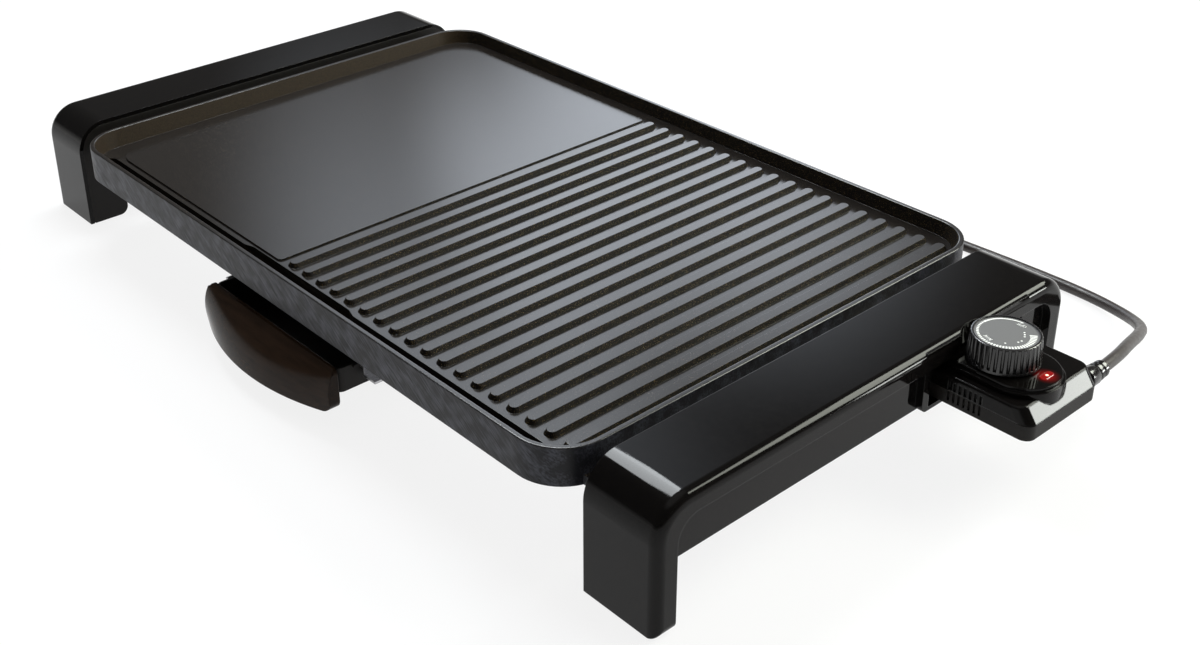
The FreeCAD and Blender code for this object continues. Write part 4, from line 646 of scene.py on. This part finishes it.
# %% [markdown]
# ## The cooking plate
# The plate is cast aluminium, sprayed with a dark PTFE non-stick coat and
# baked. The flat parts are satin: the spray leaves a fine orange peel, drawn a
# little coarser than its real half millimetre, and mineral grains in the coat
# show as faint warm specks, drawn at nearly a millimetre or they would vanish.
# The index is that of the binder and its fillers, above that of pure PTFE.

# %% Non-stick coat
coat, tree, shader, place = bare("ptfe_coat_on_cast_aluminium", {"IOR": 1.5, "Roughness": 0.2})
peel = add(tree, "TexNoise", inputs={"Vector": place, "Scale": every(0.7),
                                     "Detail": 2.0}).outputs["Fac"]
grains = add(tree, "TexNoise", inputs={"Vector": place, "Scale": every(0.9), "Detail": 1.0})
speck = add(tree, "MapRange", inputs={"Value": grains.outputs["Fac"], "From Min": 0.62,
                                      "From Max": 0.74})
hue = add(tree, "Mix", {"data_type": "RGBA"},
          {"Factor": speck.outputs[0], 6: colour("#1a1715"), 7: colour("#3d362f")})
level = add(tree, "MapRange", inputs={"Value": peel, "From Min": NOISE_LOW,
                                      "From Max": NOISE_HIGH, "To Min": 0.13, "To Max": 0.18})
clothe(tree, shader, hue.outputs[2], level.outputs[0], peel, 0.006, 0.35)
print("coat:", len(tree.nodes), "nodes")

# %% [markdown]
# Steep walls get less spray and catch it at a slant, so there the coat is thin,
# rough and brown, and the mineral grains lie dense, like fine gold sand. They
# are drawn at half a millimetre, a few times their real size. So rough a skin
# mirrors hardly anything, so its index is far below the flat coat's.

# %% Coat on the walls of the well
steep, tree, shader, place = bare("thin_rough_coat_on_steep_walls",
                                  {"IOR": 1.2, "Roughness": 0.6})
sand = add(tree, "TexNoise", inputs={"Vector": place, "Scale": every(0.45),
                                     "Detail": 2.0}).outputs["Fac"]
speck = add(tree, "MapRange", inputs={"Value": sand, "From Min": 0.6, "From Max": 0.72})
hue = add(tree, "Mix", {"data_type": "RGBA"},
          {"Factor": speck.outputs[0], 6: colour("#0e0b0a"), 7: colour("#7d6b47")})
level = add(tree, "MapRange", inputs={"Value": sand, "From Min": NOISE_LOW,
                                      "From Max": NOISE_HIGH, "To Min": 0.65, "To Max": 0.45})
clothe(tree, shader, hue.outputs[2], level.outputs[0], sand, 0.05, 0.35)
print("steep coat:", len(tree.nodes), "nodes")

# %% [markdown]
# Outside, the casting was dressed on a belt before it was sprayed, and the
# belt's slanting scratches still show through the coat. They are noise, leant
# over and then stretched along one axis, and a slower noise lets them come and
# go in patches. They are drawn about three times as coarse as real ones, or
# they would vanish.

# %% Coat on the outer walls
SCRATCH_LEAN = math.radians(-34)
dressed, tree, shader, place = bare("ptfe_coat_on_belt_dressed_wall",
                                    {"IOR": 1.3, "Roughness": 0.4})
lean = add(tree, "Mapping", inputs={"Vector": place, "Rotation": (0.0, SCRATCH_LEAN, 0.0)})
drawn = add(tree, "Mapping", inputs={"Vector": lean.outputs[0], "Scale": (0.07, 1.0, 1.0)})
scratch = add(tree, "TexNoise", inputs={"Vector": drawn.outputs[0], "Scale": every(0.9),
                                        "Detail": 3.0}).outputs["Fac"]
patch = add(tree, "TexNoise", inputs={"Vector": place, "Scale": every(9), "Detail": 2.0})
worn = add(tree, "Math", {"operation": "MULTIPLY"}, {0: scratch, 1: patch.outputs["Fac"]})
shade = add(tree, "MapRange", inputs={"Value": worn.outputs[0], "From Min": 0.2, "From Max": 0.4})
hue = add(tree, "Mix", {"data_type": "RGBA"},
          {"Factor": shade.outputs[0], 6: colour("#16161a"), 7: colour("#3f4048")})
level = add(tree, "MapRange", inputs={"Value": scratch, "From Min": NOISE_LOW,
                                      "From Max": NOISE_HIGH, "To Min": 0.5, "To Max": 0.32})
clothe(tree, shader, hue.outputs[2], level.outputs[0], scratch, 0.08, 0.6)
print("outer wall:", len(tree.nodes), "nodes")

# %% [markdown]
# One casting wears all of these, and each face picks its own by where it lies
# and which way it looks. Level faces keep the flat coat. A steep face is an
# outer one if it lies near the outline, a rectangle with round corners; the
# lugs at both ends stand outside it. The well's left end wall faces the light
# and shows its sand most, so it has a skin of its own, drawn at nearly a
# millimetre for the same reason as the specks.

# %% The plate's finishes
STEEP_BELOW = 0.7
CORNER = 28 * MM
HALF_LENGTH = 241.5 * MM
HALF_DEPTH = 163 * MM
OUTLINE_SLACK = 1 * MM
END_WALL = -200 * MM
FACES_RIGHT = 0.5
FLAT_COAT, OUTER_COAT, STEEP_COAT, SANDY_COAT = range(4)


def coat_for(middle, normal):
    """Which of the plate's finishes a face wears, by its middle and its normal."""
    if abs(normal.z) >= STEEP_BELOW:
        return FLAT_COAT
    past = Vector((max(abs(middle.x) - HALF_LENGTH + CORNER, 0),
                   max(abs(middle.y) - HALF_DEPTH + CORNER, 0)))
    if past.length > CORNER - OUTLINE_SLACK:
        return OUTER_COAT
    if middle.x < END_WALL and normal.x > FACES_RIGHT:
        return SANDY_COAT
    return STEEP_COAT


sandy = skin("sandy_coat_on_end_wall", {"IOR": 1.2}, 0.9, ("#010000", "#382d1f"),
             (0.5, 0.6), 0.12, edge=0.4)
dress(["griddle_plate"], coat, dressed, steep, sandy)
plate = nodes["griddle_plate"]
counts = [0, 0, 0, 0]
for face in plate.data.polygons:
    face.material_index = coat_for(plate.matrix_world @ face.center, face.normal)
    counts[face.material_index] += 1
print("faces with flat, outer, steep and sandy coat:", counts)

# %% [markdown]
# ## Black plastics
# The legs, the thermostat's cover and the tray's pull are ABS, moulded in a
# polished tool: deep black with a clear, nearly mirror-like skin that waves
# very slightly where the plastic shrank. A clear coat over a matte black would
# look alike, but ABS is one plastic all through, and its own skin gives the
# gloss. Its index starts at 1.54, and it was brought down until a leg mirrors
# the bright table as faintly as a real one does. The pull's brown tone and the
# streaks along it are a painted reflection, laid into its colour.

# %% Polished ABS
ABS_BLACKS = ("#080707", "#0e0c0b")


def polished_abs(name, hues, edge, ior=1.24, stretch=(1, 1, 1)):
    """A long wave in height and a fine haze in gloss; edge is the rounding in mm."""
    made, tree, shader, place = bare(name, {"IOR": ior, "Roughness": 0.06})
    # stretched, the haze draws streaks in the colour; on the pull they are painted reflection
    drawn = add(tree, "Mapping", inputs={"Vector": place, "Scale": stretch})
    wave = add(tree, "TexNoise", inputs={"Vector": place, "Scale": every(22), "Detail": 1.0})
    haze = add(tree, "TexNoise", inputs={"Vector": drawn.outputs[0], "Scale": every(3),
                                         "Detail": 4.0}).outputs["Fac"]
    hue = add(tree, "Mix", {"data_type": "RGBA"},
              {"Factor": haze, 6: colour(hues[0]), 7: colour(hues[1])})
    level = add(tree, "MapRange", inputs={"Value": haze, "From Min": 0.35, "From Max": 0.7,
                                          "To Min": 0.05, "To Max": 0.09})
    clothe(tree, shader, hue.outputs[2], level.outputs[0], wave.outputs["Fac"], 0.02, edge)
    print(name, "waves every 22 mm")
    return made


gloss = polished_abs("polished_black_abs", ABS_BLACKS, 0.45)
cover = polished_abs("polished_black_abs_cover", ABS_BLACKS, 1.0)
# the pull's brown hues and its streaks are a painted reflection
pull = polished_abs("polished_black_abs_with_painted_reflection", ("#150f0b", "#33251b"), 0.8, 1.2, (0.12, 1, 1))

# %% [markdown]
# The deck round the lamp is the same plastic, but thin, so some of the lamp's
# red comes through it and fades within a few millimetres. Light scattered in
# the plastic would do this by itself, at a high price in noise, so here the
# skin glows by its distance from the lamp.

# %% Deck with the lamp behind it
LAMP_PLACE = Vector((341.4, 73.7, 62.0)) * MM
deck = polished_abs("polished_black_abs_over_lamp", ABS_BLACKS, 1.0)
tree = deck.node_tree
shader = tree.nodes["Principled BSDF"]
place = tree.nodes["Texture Coordinate"].outputs["Object"]
away = add(tree, "VectorMath", {"operation": "DISTANCE"}, {0: place, 1: LAMP_PLACE})
fade = add(tree, "MapRange", inputs={"Value": away.outputs["Value"], "From Max": 8 * MM,
                                     "To Min": 0.75, "To Max": 0.0})
halo = add(tree, "Math", {"operation": "POWER"}, {0: fade.outputs[0], 1: 2.2})
shader.inputs["Emission Color"].default_value = colour("#ff1208")
tree.links.new(halo.outputs[0], shader.inputs["Emission Strength"])
print("halo round", [round(c, 3) for c in LAMP_PLACE])

# %% [markdown]
# Covers, tray and the thermostat's base come from a spark eroded tool, which
# leaves a fine matte grain, drawn at half a millimetre, a few times its real
# size. Its index is brought down as the polished skin's was. The knob is
# phenolic, harder and satin, with the same kind of grain but shallower, and
# keeps nearly the index of the real resin.

# %% Grained ABS and phenolic
matte = skin("spark_grained_black_abs", {"IOR": 1.28}, 0.5, ("#100e0d", "#1d1a18"),
             (0.42, 0.58), 0.03, edge=0.4)
phenolic = skin("satin_black_phenolic", {"IOR": 1.58}, 0.4, ("#0d0c0d", "#161516"),
                (0.18, 0.27), 0.01, edge=0.3)
dress(["left_leg_shell", "right_leg_shell"], gloss)
dress(["thermostat_cover"], cover)
dress(["tray_handle"], pull)
dress(["thermostat_deck"], deck)
dress(["left_leg_cover", "right_leg_cover", "drip_tray", "thermostat_base"], matte)
dress(["knob"], phenolic)

# %% [markdown]
# ## Soft PVC, rubber and tape
# The lead and the plug are soft PVC: brown-black, with a satin skin and faint
# marks from the extruder. The boot comes from a polished mould, so it is
# blacker and glossier than the lead. Feet are plain black rubber, dusty with
# talc. The tie's loops are drawn at a millimetre, twice their real size, to
# show, and a little sheen stands for the loose fibre ends.

# %% Lead, boot, feet and tie
sleeve = skin("pvc_lead_sleeve", {"IOR": 1.5}, 2.5, ("#211b19", "#2e2725"), (0.34, 0.48), 0.05)
moulded = skin("glossy_pvc_moulding", {"IOR": 1.54}, 2.5, ("#0b0a0a", "#141212"),
               (0.14, 0.24), 0.02)
rubber = skin("black_foot_rubber", {"IOR": 1.52}, 1.2, ("#121212", "#262524"),
              (0.72, 0.88), 0.06)
tape = skin("hook_and_loop_tape", {"IOR": 1.5, "Sheen Weight": 0.5}, 1.0,
            ("#0c0c0d", "#2c2c2f"), (0.8, 0.95), 0.25)
dress([mains_lead, plug_body], sleeve)
dress([cord_boot], moulded)
dress(["foot_pads"], rubber)
dress([coil_tie], tape)

# %% [markdown]
# ## Metals
# Rails, pan and screws are bright sheet and wire. Rolled sheet has long fine
# lines along the rolling direction, so its grain is stretched. The heater's
# sheath is dull from its firing, and the contact pins are nickel plated brass.
# Lines a tenth of a millimetre apart are drawn at half a millimetre or more.
# A metal's colour is all in its mirror image, so these are pale hues with the
# shader fully metallic and its index left alone.

# %% Sheet, sheath and contacts
steel = skin("rolled_bright_steel", {"Metallic": 1.0}, 0.5, ("#a3a3a6", "#c4c4c6"),
             (0.22, 0.4), 0.01, stretch=(1, 0.04, 1), edge=0.2)
sheet = skin("mill_aluminium_sheet", {"Metallic": 1.0}, 0.8, ("#b4b5b8", "#d0d1d3"),
             (0.34, 0.52), 0.01, stretch=(0.03, 1, 1))
fired = skin("fired_steel_sheath", {"Metallic": 1.0}, 4.0, ("#4c443d", "#7a6f66"),
             (0.4, 0.6), 0.04)
nickel = skin("nickel_plated_brass", {"Metallic": 1.0}, 0.7, ("#b9b3a6", "#cfcabd"),
              (0.14, 0.3), 0.005, stretch=(0.1, 1, 1))
brass = skin("plain_brass", {"Metallic": 1.0}, 2.0, ("#a8843f", "#c6a864"), (0.26, 0.4), 0.01)
dress(["tray_rail_left", "tray_rail_right", "rail_rivets", "pan_screws", "leg_screws",
       "handle_screws", "housing_screws", "knob_shaft", "probe_rod", "probe_guide"], steel)
dress(["reflector_pan"], sheet)
dress(["heating_element"], fired)
dress(["plug_pins", "terminal_pins", *earth_clips], nickel)
dress(["contact_sleeves"], brass)

# %% [markdown]
# What holds live metal near the heat is steatite, pressed from powder and fired
# without a glaze: off-white and chalky, with its powder grain drawn coarse.

# %% Ceramic
ceramic = skin("pressed_steatite", {"IOR": 1.6}, 0.6, ("#cfc8b6", "#e4dfd0"), (0.6, 0.8), 0.03)
dress(["element_supports", "terminal_block", "contact_carrier", "switch_block"], ceramic)

# %% [markdown]
# ## The indicator lamp
# The window is clear red polycarbonate over a small neon lamp. It is lit, so it
# glows deep red with a nearly white heart where the lamp is. Real light sent
# through so small a window would be grainy, so the window glows by itself,
# strongest nearest the lamp.

# %% Lit window
window, tree, shader, place = bare("lit_red_polycarbonate",
                                   {"IOR": 1.58, "Base Color": colour("#5a0505")})
swirl = add(tree, "TexNoise", inputs={"Vector": place, "Scale": every(1.5)})
level = add(tree, "MapRange", inputs={"Value": swirl.outputs["Fac"], "To Min": 0.05,
                                      "To Max": 0.15})
away = add(tree, "VectorMath", {"operation": "DISTANCE"}, {0: place, 1: LAMP_PLACE})
heart = add(tree, "MapRange", {"interpolation_type": "SMOOTHERSTEP"},
            {"Value": away.outputs["Value"], "From Min": 0.3 * MM, "From Max": 1.5 * MM,
             "To Min": 1.0, "To Max": 0.0})
glow = add(tree, "Mix", {"data_type": "RGBA"},
           {"Factor": heart.outputs[0], 6: colour("#d40a04"), 7: colour("#ffd8b8")})
power = add(tree, "MapRange", inputs={"Value": heart.outputs[0], "To Min": 0.35, "To Max": 4.0})
tree.links.new(level.outputs[0], shader.inputs["Roughness"])
tree.links.new(glow.outputs[2], shader.inputs["Emission Color"])
tree.links.new(power.outputs[0], shader.inputs["Emission Strength"])
neon = skin("neon_lamp_glass", {"IOR": 1.5, "Emission Color": colour("#ff5030"),
                                "Emission Strength": 6.0}, 1.0, ("#802010", "#a03018"),
            (0.05, 0.2), 0.01)
dress(["indicator_lens"], window)
dress(["indicator_lamp"], neon)

# %% [markdown]
# The dial is a grey lacquered disc and its print is white ink, both matte
# enough to read from any side. Their grain is drawn at about a third of a
# millimetre; a lacquer's own is too fine to see.

# %% Dial
lacquer = skin("grey_dial_lacquer", {"IOR": 1.4}, 0.35, ("#5e5e5f", "#6a6a6b"),
               (0.35, 0.5), 0.01)
ink = skin("white_screen_ink", {"IOR": 1.4}, 0.3, ("#d9dad8", "#ececea"), (0.5, 0.6), 0.01)
dress(["dial_disc"], lacquer)
dress([dial_print], ink)

# %% [markdown]
# ## Studio
# The griddle stands on a white table in a dim room. Black plastic shows only
# what it mirrors, so the lights are chosen by what each face looks at. The room
# itself is white along the horizon, dim above it and lit at the ceiling, and
# all of that depends on height alone.

# %% The room
world = bpy.data.worlds.new("studio")
bpy.context.scene.world = world
world.use_nodes = True
tree = world.node_tree
tree.nodes.clear()
gaze = add(tree, "TexCoord").outputs["Generated"]
rise = add(tree, "SeparateXYZ", inputs={"Vector": gaze}).outputs["Z"]
horizon = add(tree, "MapRange", inputs={"Value": rise, "From Min": 0.02, "From Max": 0.2,
                                        "To Min": 1.0, "To Max": 0.12})
ceiling = add(tree, "MapRange", {"interpolation_type": "SMOOTHSTEP"},
              {"Value": rise, "From Min": 0.78, "From Max": 0.97, "To Min": 0.0, "To Max": 0.6})
both = add(tree, "Math", {"operation": "ADD"}, {0: horizon.outputs[0], 1: ceiling.outputs[0]})
room = add(tree, "Background", inputs={"Color": colour("#fffefc"), "Strength": both.outputs[0]})
add(tree, "OutputWorld", inputs={"Surface": room.outputs[0]})
print("room:", len(tree.nodes), "nodes")

# %% [markdown]
# Four softboxes stand round the table. The far wall gives the plate and the
# left leg their sheen, the tall one on the right draws the light line along the
# right leg, a small one at the left touches the near corner, and a low card
# fills the thermostat's slopes. The wall is one cloth with three lamps behind
# it, and each lamp's glow fades with the distance from its heart. Three lights
# in one plane would hide each other instead of adding up.

# %% Softboxes
# a glow this wide is even all over its box
EVEN = (900, 1000)
SOFTBOXES = [
    # name, place, aim (mm), width, height (mm), hue and glows: heart (mm), radiance,
    # full inside, gone outside (mm)
    ("far_wall", (-800, 600, 670), (-800, 0, 670), 1800, 1460, "#ebf3fe",
     [((-395, 600, 326), 3.6, 50, 408), ((-686, 600, 563), 2.8, 0, 326),
      ((-869, 600, 1088), 2.1, 167, 819)]),
    ("right_key", (734, 1061, 1017), (297, -20, 73), 900, 620, "#fafdf0",
     [((734, 1061, 1017), 15.0, *EVEN)]),
    ("left_key", (-425, 166, 991), (280, -148, 72), 560, 330, "#f2f7fa",
     [((-425, 166, 991), 22.0, *EVEN)]),
    ("slope_card", (900, 725, 211), (0, 725, 211), 340, 150, "#f8fbf6",
     [((900, 725, 211), 32.0, 400, 500)]),
]


def softbox(name, place, aim, width, height, hue, glows):
    """An area light with glows that fade from their hearts; the camera doesn't see it."""
    box = bpy.data.lights.new(name, "AREA")
    box.shape = "RECTANGLE"
    box.size = width * MM
    box.size_y = height * MM
    # with this energy, an emission strength of one is a radiance of one
    box.energy = math.pi * box.size * box.size_y
    box.use_nodes = True
    tree = box.node_tree
    spot = add(tree, "NewGeometry").outputs["Position"]
    total = 0.0
    for heart, radiance, inside, outside in glows:
        away = add(tree, "VectorMath", {"operation": "DISTANCE"}, {0: spot, 1: Vector(heart) * MM})
        fade = add(tree, "MapRange", {"interpolation_type": "SMOOTHSTEP"},
                   {"Value": away.outputs["Value"], "From Min": inside * MM,
                    "From Max": outside * MM, "To Min": radiance, "To Max": 0.0})
        total = add(tree, "Math", {"operation": "ADD"}, {0: fade.outputs[0], 1: total}).outputs[0]
    lit = tree.nodes["Emission"]
    lit.inputs["Color"].default_value = colour(hue)
    tree.links.new(total, lit.inputs["Strength"])
    made = put(name, box)
    made.location = Vector(place) * MM
    made.rotation_euler = (Vector(place) - Vector(aim)).to_track_quat("Z", "Y").to_euler()
    made.visible_camera = False
    print(name, "has", len(glows), "glows")


for row in SOFTBOXES:
    softbox(*row)

# %% [markdown]
# The table top is white. To the camera, and in gloss and glass, it is mostly a
# plain white glow of strength one, and the rest is real matte white, which
# keeps the griddle's soft shadow. More light on a matte table would whiten it
# too, but the griddle would go pale with it.

# %% White table
TABLE_RADIUS = 8.0
GLOW_SHARE = 0.85
bpy.ops.mesh.primitive_circle_add(vertices=96, radius=TABLE_RADIUS, fill_type="NGON")
table = bpy.context.object
table.name = "table_top"
white = bpy.data.materials.new("white_table")
white.use_nodes = True
tree = white.node_tree
tree.nodes.clear()
ray = add(tree, "LightPath")
seen = add(tree, "Math", {"operation": "MAXIMUM"},
           {0: ray.outputs["Is Camera Ray"], 1: ray.outputs["Is Glossy Ray"]})
seen = add(tree, "Math", {"operation": "MAXIMUM"},
           {0: seen.outputs[0], 1: ray.outputs["Is Transmission Ray"]})
share = add(tree, "Math", {"operation": "MULTIPLY"}, {0: seen.outputs[0], 1: GLOW_SHARE})
matt = add(tree, "BsdfDiffuse", inputs={"Color": colour("#f4f4f4")})
glow = add(tree, "Emission", inputs={"Color": (1, 1, 1, 1), "Strength": 1.0})
both = add(tree, "MixShader", inputs={0: share.outputs[0], 1: matt.outputs[0],
                                      2: glow.outputs[0]})
add(tree, "OutputMaterial", inputs={"Surface": both.outputs[0]})
table.data.materials.append(white)
bpy.context.scene.view_settings.view_transform = "Standard"
print("table:", len(tree.nodes), "nodes")
